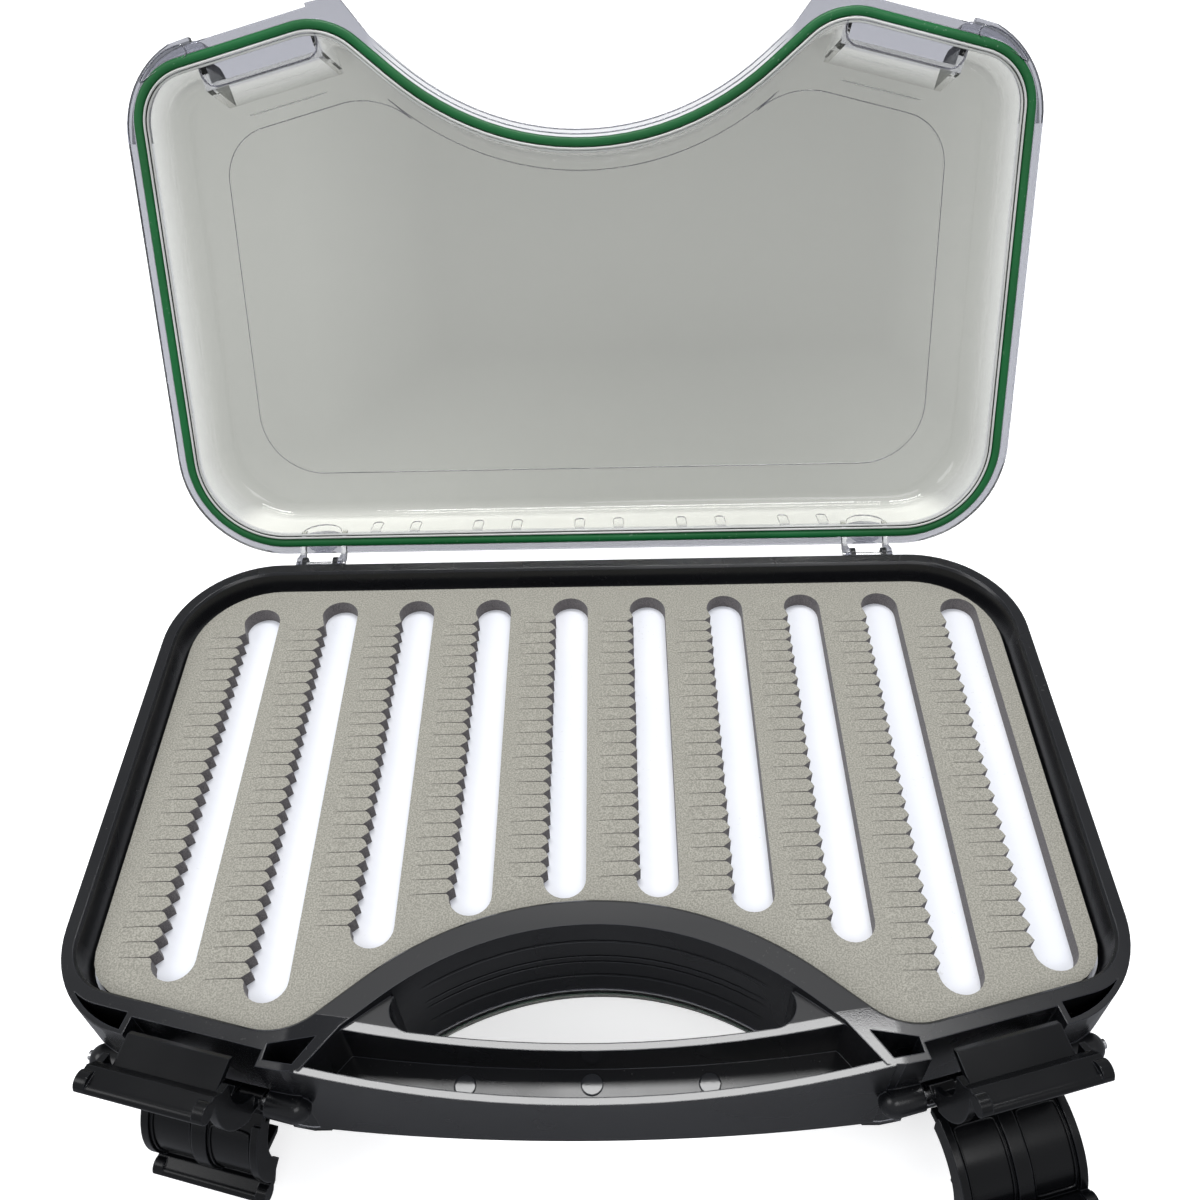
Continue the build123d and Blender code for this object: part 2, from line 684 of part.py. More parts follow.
with BuildPart() as cord:
    with BuildSketch(level(MATING - CORD_PROUD)):
        add(case_outline(-CORD_HALF))
        add(case_outline(CORD_HALF), mode=Mode.SUBTRACT)
    extrude(amount=CORD_PROUD + GROOVE_DEPTH)
    fillet(cord.faces().sort_by(Axis.Z)[0].edges(), 1.1)
print("cord", cord.part.volume)

open_axis = Axis((0, HINGE_Y, MID + HINGE_HALF), (1, 0, 0))
for shape, top_name, bottom_name in (
    (lid_whole.part, "top_lid", "bottom_lid"),
    (cord.part, "top_gasket", "bottom_gasket"),
):
    with BuildPart() as opened_piece:
        add(shape.rotate(open_axis, -LID_OPEN))
    opened_piece.part.label = top_name
    export_step(opened_piece.part, f"parts/{top_name}.step")
    with BuildPart() as closed_piece:
        add(shape.mirror(level(0)))
    closed_piece.part.label = bottom_name
    export_step(closed_piece.part, f"parts/{bottom_name}.step")

# ---------------------------------------------------------------- hinge pins
for side, side_name in ((-1, "left"), (1, "right")):
    for face, face_name in ((1, "top"), (-1, "bottom")):
        with BuildPart() as hinge_pin:
            with BuildSketch(Plane.YZ.offset(side * HINGE_X - LID_LUG - 1.6)):
                with Locations((HINGE_Y, MID + face * HINGE_HALF)):
                    Circle(HINGE_PIN)
            extrude(amount=2 * (LID_LUG + 1.6))
        hinge_pin.part.label = f"{side_name}_{face_name}_hinge_pin"
        export_step(hinge_pin.part, f"parts/{side_name}_{face_name}_hinge_pin.step")
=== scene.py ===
# %% [markdown]
# # A double-sided waterproof fly box, standing open
#
# An angler's case: a black carrying frame, a clear lid on each side, and a grey
# foam insert behind each lid. The moving model is loaded first and is never changed.
# Everything after it adds what a solid model leaves plain: cut foam, rubber cords,
# moulded trims and finishes, light and a camera. The scene is in metres. Shapes are
# worked out in millimetres, and MM takes them to metres.

from math import cos, radians, sin

import bpy
import numpy as np
from mathutils import Matrix, Vector
from mathutils.geometry import delaunay_2d_cdt


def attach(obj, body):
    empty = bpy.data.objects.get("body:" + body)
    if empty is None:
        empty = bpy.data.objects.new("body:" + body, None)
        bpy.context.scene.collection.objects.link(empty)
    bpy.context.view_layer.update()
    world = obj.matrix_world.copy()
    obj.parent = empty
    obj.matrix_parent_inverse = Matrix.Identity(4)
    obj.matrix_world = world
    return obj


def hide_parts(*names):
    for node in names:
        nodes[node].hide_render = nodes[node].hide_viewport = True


MM = 0.001
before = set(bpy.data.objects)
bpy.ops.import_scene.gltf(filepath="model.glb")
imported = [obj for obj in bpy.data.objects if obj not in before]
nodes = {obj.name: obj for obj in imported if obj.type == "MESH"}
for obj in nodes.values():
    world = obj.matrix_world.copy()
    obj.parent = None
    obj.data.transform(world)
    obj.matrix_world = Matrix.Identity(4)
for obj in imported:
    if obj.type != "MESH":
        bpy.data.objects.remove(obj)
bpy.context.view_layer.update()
scene = bpy.context.scene
scene.view_settings.view_transform = "Standard"
print("pieces in the moving model:", len(nodes))

# %% [markdown]
# ## The camera
#
# A lens is described by where it stands and how it is turned. The box is seen from
# above its handle, a little to the right of the middle, so the camera pitches down
# and hardly yaws or rolls. Building its three axes from those angles keeps them square.

# %% Camera
EYE = Vector((9.738, -229.097, 405.655)) * MM
PITCH_DOWN = 0.824405      # radians below the horizon
YAW = -0.0228353
ROLL = 0.0338001
FOCAL_PIXELS = 1156.338
PICTURE_PIXELS = 1200
SENSOR = 36.0

looking = Vector((sin(YAW) * cos(PITCH_DOWN), cos(YAW) * cos(PITCH_DOWN), -sin(PITCH_DOWN)))
level_right = Vector((cos(YAW), -sin(YAW), 0.0))
level_down = looking.cross(level_right)
lens_right = level_right * cos(ROLL) + level_down * sin(ROLL)
lens_down = level_down * cos(ROLL) - level_right * sin(ROLL)

camera_data = bpy.data.cameras.new("camera")
camera_data.sensor_width = SENSOR
camera_data.lens = SENSOR * FOCAL_PIXELS / PICTURE_PIXELS
camera_data.clip_start = 0.01
camera = bpy.data.objects.new("camera", camera_data)
axes = Matrix((lens_right, -lens_down, -looking)).transposed()
camera.matrix_world = Matrix.Translation(EYE) @ axes.to_4x4()
scene.collection.objects.link(camera)
scene.camera = camera
print("lens", round(camera_data.lens, 2), "mm")

# %% [markdown]
# ## Floor and light
#
# A product is lit by large soft sources, so that black plastic shows broad quiet
# reflections and a clear lid isn't full of hot spots. The backdrop is white only for
# the rays that see it directly or through the lid, and grey in a reflection. That way
# the white never adds light to the object.

# %% Small helpers for node trees
def link_value(tree, socket, value):
    """Feed a socket from another socket, or set it to a plain value."""
    if isinstance(value, bpy.types.NodeSocket):
        tree.links.new(value, socket)
    else:
        socket.default_value = value


def maths(tree, operation, *values):
    """A Math node on up to three numbers or sockets."""
    node = tree.nodes.new("ShaderNodeMath")
    node.operation = operation
    for socket, value in zip(node.inputs, values):
        link_value(tree, socket, value)
    return node.outputs[0]


def blend_colour(tree, share, first, second):
    """Colour that goes from first to second as share goes from 0 to 1."""
    node = tree.nodes.new("ShaderNodeMix")
    node.data_type = "RGBA"
    link_value(tree, node.inputs["Factor"], share)
    link_value(tree, node.inputs[6], first)
    link_value(tree, node.inputs[7], second)
    return node.outputs[2]


def seen_directly(tree):
    """1 for a ray that shows the backdrop to the eye, straight or through the lid."""
    path = tree.nodes.new("ShaderNodeLightPath")
    return maths(tree, "MAXIMUM", path.outputs["Is Camera Ray"], path.outputs["Is Transmission Ray"])


def in_a_gloss(tree):
    """1 for a ray that was mirrored by a surface; one that passed through it counts as 0."""
    path = tree.nodes.new("ShaderNodeLightPath")
    return maths(tree, "SUBTRACT", path.outputs["Is Glossy Ray"], path.outputs["Is Transmission Ray"])


# %% World
WHITE = (1.0, 1.0, 1.0, 1.0)
ROOM_LIGHT = (0.62, 0.63, 0.66, 1.0)      # the light that the room sheds
ROOM_MIRRORED = (0.50, 0.51, 0.53, 1.0)   # and how it looks in a reflection

world = bpy.data.worlds.new("studio")
scene.world = world
world.use_nodes = True
sky = world.node_tree
unseen = blend_colour(sky, in_a_gloss(sky), ROOM_LIGHT, ROOM_MIRRORED)
sky_colour = blend_colour(sky, seen_directly(sky), unseen, WHITE)
sky.links.new(sky_colour, sky.nodes["Background"].inputs["Color"])
print("world:", world.name)

# %% Floor
# The lamps alone leave the paper grey, so it glows a little for the rays that show it
# to the eye.
FLOOR_HALF = 3.0
PAPER = (0.86, 0.86, 0.86, 1.0)
PAPER_MIRRORED = (0.26, 0.265, 0.28, 1.0)
GLOW_SEEN = 0.28           # straight or through the lid
GLOW_STRAIGHT = 0.34       # added where no lid lies between

floor_mesh = bpy.data.meshes.new("floor")
floor_corners = [(-1, -1), (1, -1), (1, 1), (-1, 1)]
floor_points = [(x * FLOOR_HALF, y * FLOOR_HALF, 0.0) for x, y in floor_corners]
floor_mesh.from_pydata(floor_points, [], [(0, 1, 2, 3)])
floor = bpy.data.objects.new("floor", floor_mesh)
scene.collection.objects.link(floor)

paper = bpy.data.materials.new("white_paper")
paper.use_nodes = True
tree = paper.node_tree
paper_shader = tree.nodes["Principled BSDF"]
sheet = blend_colour(tree, in_a_gloss(tree), PAPER, PAPER_MIRRORED)
tree.links.new(sheet, paper_shader.inputs["Base Color"])
paper_shader.inputs["Roughness"].default_value = 0.9
paper_shader.inputs["Specular IOR Level"].default_value = 0.1
to_camera = tree.nodes.new("ShaderNodeLightPath").outputs["Is Camera Ray"]
seen_glow = maths(tree, "MULTIPLY", seen_directly(tree), GLOW_SEEN)
glow = maths(tree, "MULTIPLY_ADD", to_camera, GLOW_STRAIGHT, seen_glow)
tree.links.new(glow, paper_shader.inputs["Emission Strength"])
paper_shader.inputs["Emission Color"].default_value = WHITE
floor_mesh.materials.append(paper)
print("floor", 2 * FLOOR_HALF, "m wide")


# %% Lamps
def soft_lamp(name, place, aim, width, height, watts):
    """Rectangular lamp at place that faces aim."""
    data = bpy.data.lights.new(name, "AREA")
    data.shape = "RECTANGLE"
    data.size = width
    data.size_y = height
    data.energy = watts
    lamp = bpy.data.objects.new(name, data)
    lamp.location = place
    lamp.rotation_euler = (Vector(aim) - Vector(place)).to_track_quat("-Z", "Y").to_euler()
    scene.collection.objects.link(lamp)


BOX_MIDDLE = (0.0, 0.0, 0.08)
soft_lamp("overhead", (0.03, 0.335, 1.30), BOX_MIDDLE, 0.72, 0.22, 9)
soft_lamp("from_left", (-1.1, -0.30, 1.2), BOX_MIDDLE, 0.9, 0.7, 7)
soft_lamp("from_front", (0.4, -0.95, 1.5), BOX_MIDDLE, 0.9, 0.6, 6)
print("lamps placed")

# %% [markdown]
# ## Finishes shared by several materials
#
# Moulded plastic is never perfectly even. Its edges are slightly rounded, its skin
# has a very fine grain, and handling leaves faint scuffs and dust. Each effect is
# built once as a node group that puts out a value or a normal, and each material
# uses it with its own numbers.

# %% Start a node group
def new_group(name, inputs, outputs):
    """Empty shader group; inputs are (name, kind, default), outputs are (name, kind)."""
    group = bpy.data.node_groups.new(name, "ShaderNodeTree")
    for label, kind, default in inputs:
        socket = group.interface.new_socket(label, in_out="INPUT", socket_type="NodeSocket" + kind)
        socket.default_value = default
    for label, kind in outputs:
        group.interface.new_socket(label, in_out="OUTPUT", socket_type="NodeSocket" + kind)
    return group, group.nodes.new("NodeGroupInput"), group.nodes.new("NodeGroupOutput")


def own_place(tree):
    """A piece's own coordinates, which stay with it when it moves."""
    return tree.nodes.new("ShaderNodeTexCoord").outputs["Object"]


def xyz(tree, vector):
    """The three parts of a vector."""
    node = tree.nodes.new("ShaderNodeSeparateXYZ")
    tree.links.new(vector, node.inputs["Vector"])
    return node.outputs


def mapped(tree, vector, part, value):
    """A vector after a Mapping node, whose part Location, Rotation or Scale is value."""
    node = tree.nodes.new("ShaderNodeMapping")
    node.inputs[part].default_value = value
    tree.links.new(vector, node.inputs["Vector"])
    return node.outputs["Vector"]


def noise(tree, scale, detail=2.0, vector=None):
    """Noise on the piece's own coordinates or on a vector, in waves per metre."""
    node = tree.nodes.new("ShaderNodeTexNoise")
    link_value(tree, node.inputs["Scale"], scale)
    node.inputs["Detail"].default_value = detail
    tree.links.new(vector or own_place(tree), node.inputs["Vector"])
    return node.outputs["Fac"]


def remap(tree, value, low, high, new_low=0.0, new_high=1.0):
    """Spread low..high over new_low..new_high and hold the ends."""
    node = tree.nodes.new("ShaderNodeMapRange")
    for socket, number in zip(node.inputs, (value, low, high, new_low, new_high)):
        link_value(tree, socket, number)
    return node.outputs[0]


# %% Rounded edges
# A mould can't make a perfectly sharp edge. The Bevel node turns the normal within a
# radius of each edge, so that the edge catches a thin line of light.
rounded, rounded_in, rounded_out = new_group(
    "rounded_edges",
    [("Radius", "Float", 0.4 * MM)],
    [("Normal", "Vector"), ("Edge", "Float")],
)
bevel = rounded.nodes.new("ShaderNodeBevel")
bevel.samples = 6
rounded.links.new(rounded_in.outputs["Radius"], bevel.inputs["Radius"])
flat = rounded.nodes.new("ShaderNodeNewGeometry")
alike = rounded.nodes.new("ShaderNodeVectorMath")
alike.operation = "DOT_PRODUCT"
rounded.links.new(bevel.outputs["Normal"], alike.inputs[0])
rounded.links.new(flat.outputs["Normal"], alike.inputs[1])
rounded.links.new(bevel.outputs["Normal"], rounded_out.inputs["Normal"])
rounded.links.new(remap(rounded, alike.outputs["Value"], 0.995, 0.86), rounded_out.inputs["Edge"])

# %% Moulded skin
# A fine noise is the satin grain of a mould that was spark-eroded, a slow one marks
# the places that hands have polished, and specks of dust lie in patches.
POLISH_WAVES, SPECK_WAVES, PATCH_WAVES = 22.0, 900.0, 14.0   # per metre

skin, skin_in, skin_out = new_group(
    "moulded_skin",
    [("Grain Size", "Float", 2600.0), ("Dust", "Float", 0.3)],
    [("Height", "Float"), ("Polish", "Float"), ("Dust", "Float")],
)
grain = noise(skin, skin_in.outputs["Grain Size"], 3.0)
skin.links.new(grain, skin_out.inputs["Height"])
polish = remap(skin, noise(skin, POLISH_WAVES, 3.0), 0.38, 0.68)
skin.links.new(polish, skin_out.inputs["Polish"])
specks = remap(skin, noise(skin, SPECK_WAVES, 1.0), 0.70, 0.76)
patches = remap(skin, noise(skin, PATCH_WAVES, 2.0), 0.45, 0.65)
dusty = maths(skin, "MULTIPLY", maths(skin, "MULTIPLY", specks, patches), skin_in.outputs["Dust"])
skin.links.new(dusty, skin_out.inputs["Dust"])


def use_group(tree, group, **values):
    """Place a group in a material and set its inputs by name."""
    node = tree.nodes.new("ShaderNodeGroup")
    node.node_tree = group
    for label, value in values.items():
        link_value(tree, node.inputs[label.replace("_", " ")], value)
    return node.outputs


def new_material(name, **sockets):
    """Material with one Principled shader, its plain numbers set on the shader itself."""
    material = bpy.data.materials.new(name)
    material.use_nodes = True
    shader = material.node_tree.nodes["Principled BSDF"]
    for label, value in sockets.items():
        shader.inputs[label.replace("_", " ")].default_value = value
    return material, material.node_tree, shader


def bump(tree, shader, height, strength, distance, normal=None):
    """Feed the shader's normal from a height, on top of another normal if there is one."""
    node = tree.nodes.new("ShaderNodeBump")
    node.inputs["Strength"].default_value = strength
    node.inputs["Distance"].default_value = distance
    tree.links.new(height, node.inputs["Height"])
    if normal is not None:
        tree.links.new(normal, node.inputs["Normal"])
    tree.links.new(node.outputs["Normal"], shader.inputs["Normal"])


def toned(name, low, high, grain, strength, distance, dust, dust_tint=None, rough=None, **sockets):
    """Material whose colour drifts from low to high where hands polish it.

    grain is its skin's waves per metre, and strength and distance are those of its bump.
    dust_tint colours its dust, and rough gives its roughness where worn and polished.
    """
    material, tree, shader = new_material(name, **sockets)
    surface = use_group(tree, skin, Grain_Size=grain, Dust=dust)
    tone = blend_colour(tree, surface["Polish"], low, high)
    if dust_tint is not None:
        tone = blend_colour(tree, surface["Dust"], tone, dust_tint)
    if rough is not None:
        roughness = remap(tree, surface["Polish"], 0.0, 1.0, *rough)
        tree.links.new(roughness, shader.inputs["Roughness"])
    tree.links.new(tone, shader.inputs["Base Color"])
    bump(tree, shader, surface["Height"], strength, distance)
    return material


print("shared finishes:", [group.name for group in bpy.data.node_groups])

# %% [markdown]
# ## Black plastic of the frame and the levers
#
# Both are glass-filled black plastic. The frame has a satin skin, and the levers,
# which slide over the lid's edge, are smoother and a deeper black. Edges are smoother,
# and every edge is painted lighter, a painted highlight. The grip has two finishes more,
# which masks lay where they belong.

# %% Black plastics
GREY_DUST = (0.16, 0.16, 0.15, 1.0)
BLACK_GRAIN = 2400.0       # waves per metre
EDGE_HIGHLIGHT_GAIN = 5.0         # how many times lighter an edge is painted: a painted highlight
EDGE_SMOOTH = 0.07         # roughness of an edge and of a polished face
DULL = 0.50                # roughness of the notch's rim


def black_plastic(name, tint, smooth, worn, radius, dust, shine, masks=None):
    """Black moulded plastic: tint is its colour, smooth and worn its two roughnesses.

    radius rounds its edges, shine is how strongly it mirrors, and masks gives where it
    is polished and where dull.
    """
    material, tree, shader = new_material(name, IOR=1.42, Specular_IOR_Level=shine)
    edges = use_group(tree, rounded, Radius=radius)
    surface = use_group(tree, skin, Grain_Size=BLACK_GRAIN, Dust=dust)
    # Every edge is painted lighter than the body: a painted highlight along the edges.
    painted_edge_highlight = tuple(channel * EDGE_HIGHLIGHT_GAIN for channel in tint[:3]) + (1.0,)
    body = blend_colour(tree, edges["Edge"], tint, painted_edge_highlight)
    dusted = blend_colour(tree, surface["Dust"], body, GREY_DUST)
    tree.links.new(dusted, shader.inputs["Base Color"])
    roughness = remap(tree, surface["Polish"], 0.0, 1.0, worn, smooth)
    shiny = edges["Edge"]
    if masks is not None:
        polished, dull = masks(tree)
        shiny = maths(tree, "MAXIMUM", shiny, polished)
        roughness = remap(tree, dull, 0.0, 1.0, roughness, DULL)
    roughness = remap(tree, shiny, 0.0, 1.0, roughness, EDGE_SMOOTH)
    tree.links.new(roughness, shader.inputs["Roughness"])
    bump(tree, shader, surface["Height"], 0.10, 0.06 * MM, edges["Normal"])
    return material


# %% Masks of the grip
# A pair of values gives where a mask begins and where it is full.
MIDDLE_HEIGHT = 51.0 * MM  # the frame's mid-plane above the table
REAR_ARC = 570.0 * MM      # radius of the grip's rear arc
REAR_ARC_Y = 476.7 * MM    # and its centre, far behind the case
PAST_ARC = (REAR_ARC - 0.8 * MM, REAR_ARC - 0.3 * MM)
GRIP_X = (90.0 * MM, 88.0 * MM)        # either way from the middle
LEVEL = (0.90, 0.93)       # how squarely up or down a level face points
WALL_TOP = (4.0 * MM, 5.0 * MM)        # the tops of the walls stand higher than this
NOTCH_RIM_Y = (-25.0 * MM, -60.0 * MM)


def grip_masks(tree):
    """Two masks for the faces round the grip that face straight up or down.

    Their distance from the centre of the grip's rear arc, which lies behind the case,
    parts them. Outside the arc lie the tops of the grip's walls, which the mould
    polishes, and inside it lies the duller rim of the notch.
    """
    x, y, z = xyz(tree, own_place(tree))
    facing = xyz(tree, tree.nodes.new("ShaderNodeNewGeometry").outputs["Normal"])["Z"]
    from_centre = maths(tree, "SUBTRACT", y, REAR_ARC_Y)
    squares = maths(
        tree, "ADD",
        maths(tree, "MULTIPLY", x, x),
        maths(tree, "MULTIPLY", from_centre, from_centre),
    )
    distance = maths(tree, "SQRT", squares)
    outside, within = remap(tree, distance, *PAST_ARC), remap(tree, distance, *PAST_ARC[::-1])
    across = remap(tree, maths(tree, "ABSOLUTE", x), *GRIP_X)
    level = remap(tree, maths(tree, "ABSOLUTE", facing), *LEVEL)
    level_there = maths(tree, "MULTIPLY", across, level)
    height = maths(tree, "ABSOLUTE", maths(tree, "SUBTRACT", z, MIDDLE_HEIGHT))
    wall_top = maths(tree, "MULTIPLY", outside, remap(tree, height, *WALL_TOP))
    notch_rim = maths(tree, "MULTIPLY", within, remap(tree, y, *NOTCH_RIM_Y))
    polished = maths(tree, "MULTIPLY", level_there, wall_top)
    dull = maths(tree, "MULTIPLY", level_there, notch_rim)
    return polished, dull


# %% Frame and lever plastic
frame_black = black_plastic(
    "satin_black", (0.0060, 0.0064, 0.0078, 1.0), smooth=0.20, worn=0.30,
    radius=0.5 * MM, dust=0.15, shine=0.5, masks=grip_masks,
)
lever_black = black_plastic(
    "smooth_black", (0.0026, 0.0028, 0.0034, 1.0), smooth=0.15, worn=0.26,
    radius=0.6 * MM, dust=0.0, shine=0.34,
)
print("black plastics:", frame_black.name, lever_black.name)

# %% [markdown]
# ## Clear lids
#
# The lids are clear polycarbonate. Thin plastic lets nearly all light through. The
# panel is tinted grey, partly a smoky tint and partly painted shade for the greyer
# surroundings seen through the lid, paler towards its edges. Its back wall is painted
# pale, a painted light where light from above and off the floor falls on it, and the
# thick flange shows a faint violet, paler still round the notch. The tint follows a
# point's place in the closed lid, so both lids share one formula.

# %% Places in a lid
# Again a pair gives where a tint begins and where it is full: in height from the hinge
# axis, in x from the middle and in y from the hinge.
HINGE_Y = 103.2 * MM
HINGE_HALF = 19.8 * MM     # hinge axis above or below the frame's mid-plane
LID_OPEN = radians(116.0)
MATING = 24.0 * MM         # lid's mating face above the mid-plane
FROM_HINGE = MATING - HINGE_HALF
WALL_STARTS = (FROM_HINGE + 2.6 * MM, FROM_HINGE + 4.5 * MM)
WALL_TO_PANEL = (FROM_HINGE + 6.0 * MM, FROM_HINGE + 27.0 * MM)
UNDER_PANEL = (FROM_HINGE + 26.0 * MM, FROM_HINGE + 19.0 * MM)
LEFT_X, RIGHT_X = (-60.0 * MM, -112.0 * MM), (118.0 * MM, 150.0 * MM)
LEFT_SHARE, RIGHT_SHARE = 0.6, 0.5     # how far these margins pale
NEAR_HINGE_Y, BACK_WALL_Y = (-80.0 * MM, -18.0 * MM), (-18.0 * MM, -13.0 * MM)
NOTCH_X, NOTCH_Y = (76.0 * MM, 66.0 * MM), (-60.0 * MM, -80.0 * MM)

# %% Clear plastic
CLEAR_FLANGE = (0.34, 0.345, 0.385, 1.0)
CLEAR_NOTCH = (0.70, 0.705, 0.72, 1.0)
CLEAR_WALL = (0.56, 0.565, 0.545, 1.0)
# The back wall's pale tint is a painted light, where light from above and off the floor falls on it.
CLEAR_BACK_PAINTED_LIGHT = (0.86, 0.865, 0.80, 1.0)
# The panel's grey is partly a smoky tint and partly painted shade for the greyer surroundings seen
# through the lid.
CLEAR_PANEL = (0.268, 0.272, 0.250, 1.0)
CLEAR_MARGIN = (0.360, 0.366, 0.336, 1.0)


def clear_plastic(name, opened, face):
    """Clear plastic with its tints: the wall, the panel and its margins with their painted shade, the
    back wall's painted light, and the flange.

    The piece's coordinates are moved to the hinge axis and turned back by the angle
    opened, which gives each point's place in the closed lid.
    """
    material, tree, shader = new_material(
        name, Transmission_Weight=1.0, IOR=1.38, Metallic=0.0, Roughness=0.03
    )
    to_hinge = (0.0, -HINGE_Y, -(MIDDLE_HEIGHT + face * HINGE_HALF))
    from_hinge = mapped(tree, own_place(tree), "Location", to_hinge)
    x, y, z = xyz(tree, mapped(tree, from_hinge, "Rotation", (opened, 0.0, 0.0)))
    height = maths(tree, "MULTIPLY", z, float(face))

    left = remap(tree, x, *LEFT_X, 0.0, LEFT_SHARE)
    right = remap(tree, x, *RIGHT_X, 0.0, RIGHT_SHARE)
    near_hinge = remap(tree, y, *NEAR_HINGE_Y)
    margin = maths(tree, "MAXIMUM", maths(tree, "MAXIMUM", left, right), near_hinge)
    panel = blend_colour(tree, margin, CLEAR_PANEL, CLEAR_MARGIN)
    wall = blend_colour(tree, remap(tree, height, *WALL_TO_PANEL), CLEAR_WALL, panel)
    # Low on the back wall the tint turns pale: a painted light.
    behind, below = remap(tree, y, *BACK_WALL_Y), remap(tree, height, *UNDER_PANEL)
    painted_back_light = maths(tree, "MULTIPLY", behind, below)
    inner = blend_colour(tree, painted_back_light, wall, CLEAR_BACK_PAINTED_LIGHT)

    across = remap(tree, maths(tree, "ABSOLUTE", x), *NOTCH_X)
    by_notch = maths(tree, "MULTIPLY", across, remap(tree, y, *NOTCH_Y))
    flange = blend_colour(tree, by_notch, CLEAR_FLANGE, CLEAR_NOTCH)
    tinted = blend_colour(tree, remap(tree, height, *WALL_STARTS), flange, inner)
    tree.links.new(tinted, shader.inputs["Base Color"])
    surface = use_group(tree, skin, Grain_Size=60.0, Dust=0.2)
    bump(tree, shader, surface["Height"], 0.12, 0.6 * MM)
    return material


clear_top = clear_plastic("clear_plastic_top", LID_OPEN, 1)
clear_bottom = clear_plastic("clear_plastic_bottom", 0.0, -1)
print("clear plastics:", clear_top.name, clear_bottom.name)

# %% [markdown]
# ## Rubber, steel, board and foam
#
# The sealing cord is soft green rubber with a dull bloom. The pins are ground steel
# with fine lines along them. The board behind the foam is white sheet plastic. The
# foam is closed-cell: thousands of tiny cut bubbles make its skin speckled and matt.

# %% Green rubber
green_rubber = toned(
    "green_rubber", (0.0010, 0.086, 0.018, 1.0), (0.0024, 0.112, 0.027, 1.0),
    grain=1500.0, strength=0.2, distance=0.08 * MM,
    dust=0.5, dust_tint=(0.25, 0.35, 0.27, 1.0), rough=(0.50, 0.38), IOR=1.40,
)

# %% Steel
STEEL_LOW, STEEL_HIGH = (0.50, 0.50, 0.51, 1.0), (0.66, 0.66, 0.67, 1.0)
ALONG_PIN = (0.03, 1.0, 1.0)   # the noise is drawn out along the pins

steel, tree, shader = new_material("ground_steel", Metallic=1.0)
drawn_out = mapped(tree, own_place(tree), "Scale", ALONG_PIN)
lines = noise(tree, 9000.0, 2.0, drawn_out)
tree.links.new(blend_colour(tree, lines, STEEL_LOW, STEEL_HIGH), shader.inputs["Base Color"])
tree.links.new(remap(tree, lines, 0.3, 0.7, 0.18, 0.32), shader.inputs["Roughness"])
bump(tree, shader, lines, 0.15, 0.02 * MM)

# %% White board
white_board = toned(
    "white_board", (0.80, 0.82, 0.87, 1.0), (0.84, 0.85, 0.89, 1.0),
    grain=1800.0, strength=0.1, distance=0.06 * MM,
    dust=0.4, dust_tint=(0.55, 0.55, 0.53, 1.0), IOR=1.45, Roughness=0.42,
)

# %% Foam
# "cut" is stored on the mesh: 0 on the skin, 1 on every cut wall. Every cut wall is
# painted darker than the skin: a painted shade for the slots and knife cuts, where
# little light reaches.
FOAM_LOW, FOAM_HIGH = (0.222, 0.216, 0.186, 1.0), (0.368, 0.357, 0.311, 1.0)
FOAM_MOTTLE = (0.25, 0.243, 0.212, 1.0)
# Colours of the cut walls: painted shade.
CUT_SHADE_LOW, CUT_SHADE_HIGH = (0.098, 0.090, 0.092, 1.0), (0.160, 0.148, 0.148, 1.0)

foam_material, tree, shader = new_material(
    "closed_cell_foam", Roughness=0.95, IOR=1.35, Sheen_Weight=0.15
)
cut = tree.nodes.new("ShaderNodeAttribute")
cut.attribute_name = "cut"
cells = tree.nodes.new("ShaderNodeTexVoronoi")
cells.inputs["Scale"].default_value = 2600.0
tree.links.new(own_place(tree), cells.inputs["Vector"])
speckle = remap(tree, noise(tree, 1900.0, 2.0), 0.38, 0.62)
mottle = remap(tree, noise(tree, 160.0, 3.0), 0.30, 0.70)
skin_tone = blend_colour(tree, speckle, FOAM_LOW, FOAM_HIGH)
mottled = blend_colour(tree, maths(tree, "MULTIPLY", mottle, 0.25), skin_tone, FOAM_MOTTLE)
cut_wall_shade = blend_colour(tree, speckle, CUT_SHADE_LOW, CUT_SHADE_HIGH)
# Where "cut" is 1 the foam takes the darker painted shade.
foam_tone = blend_colour(tree, cut.outputs["Fac"], mottled, cut_wall_shade)
tree.links.new(foam_tone, shader.inputs["Base Color"])
pits = maths(tree, "ADD", cells.outputs["Distance"], maths(tree, "MULTIPLY", speckle, 0.5))
bump(tree, shader, pits, 0.35, 0.2 * MM)
print("materials:", len(bpy.data.materials))

# %% [markdown]
# ## The seal line
#
# One rounded outline rules the whole case: back, sides, two sloping front edges and
# the round notch for the hand. It is easiest to describe by straight lines, each with
# an outward angle and a distance, joined by arcs. Moving every distance inwards by the
# same amount gives a parallel outline, which is how the foam and the cord are fitted.

# %% Rounded outlines
# Distances of the seal line's straight sides from the middle, in millimetres, and how
# far the sloping ones turn from the front, in degrees.
SEAL_BACK, SEAL_SIDE, SEAL_FRONT, SEAL_FLANK = 95.4, 160.4, 117.04, 17.64
FRONT_SLOPE, FLANK_SLOPE = 14.3, 40.0
BACK_RADIUS, CORNER_RADIUS, PEAK_RADIUS, NOTCH_RADIUS = 35.0, 22.0, 25.0, 105.0


def meeting(first, second):
    """Point where two lines meet; a line is its outward angle and its distance."""
    normals = np.radians([first[0], second[0]])
    rows = np.stack([np.cos(normals), np.sin(normals)], axis=1)
    return np.linalg.solve(rows, [first[1], second[1]])


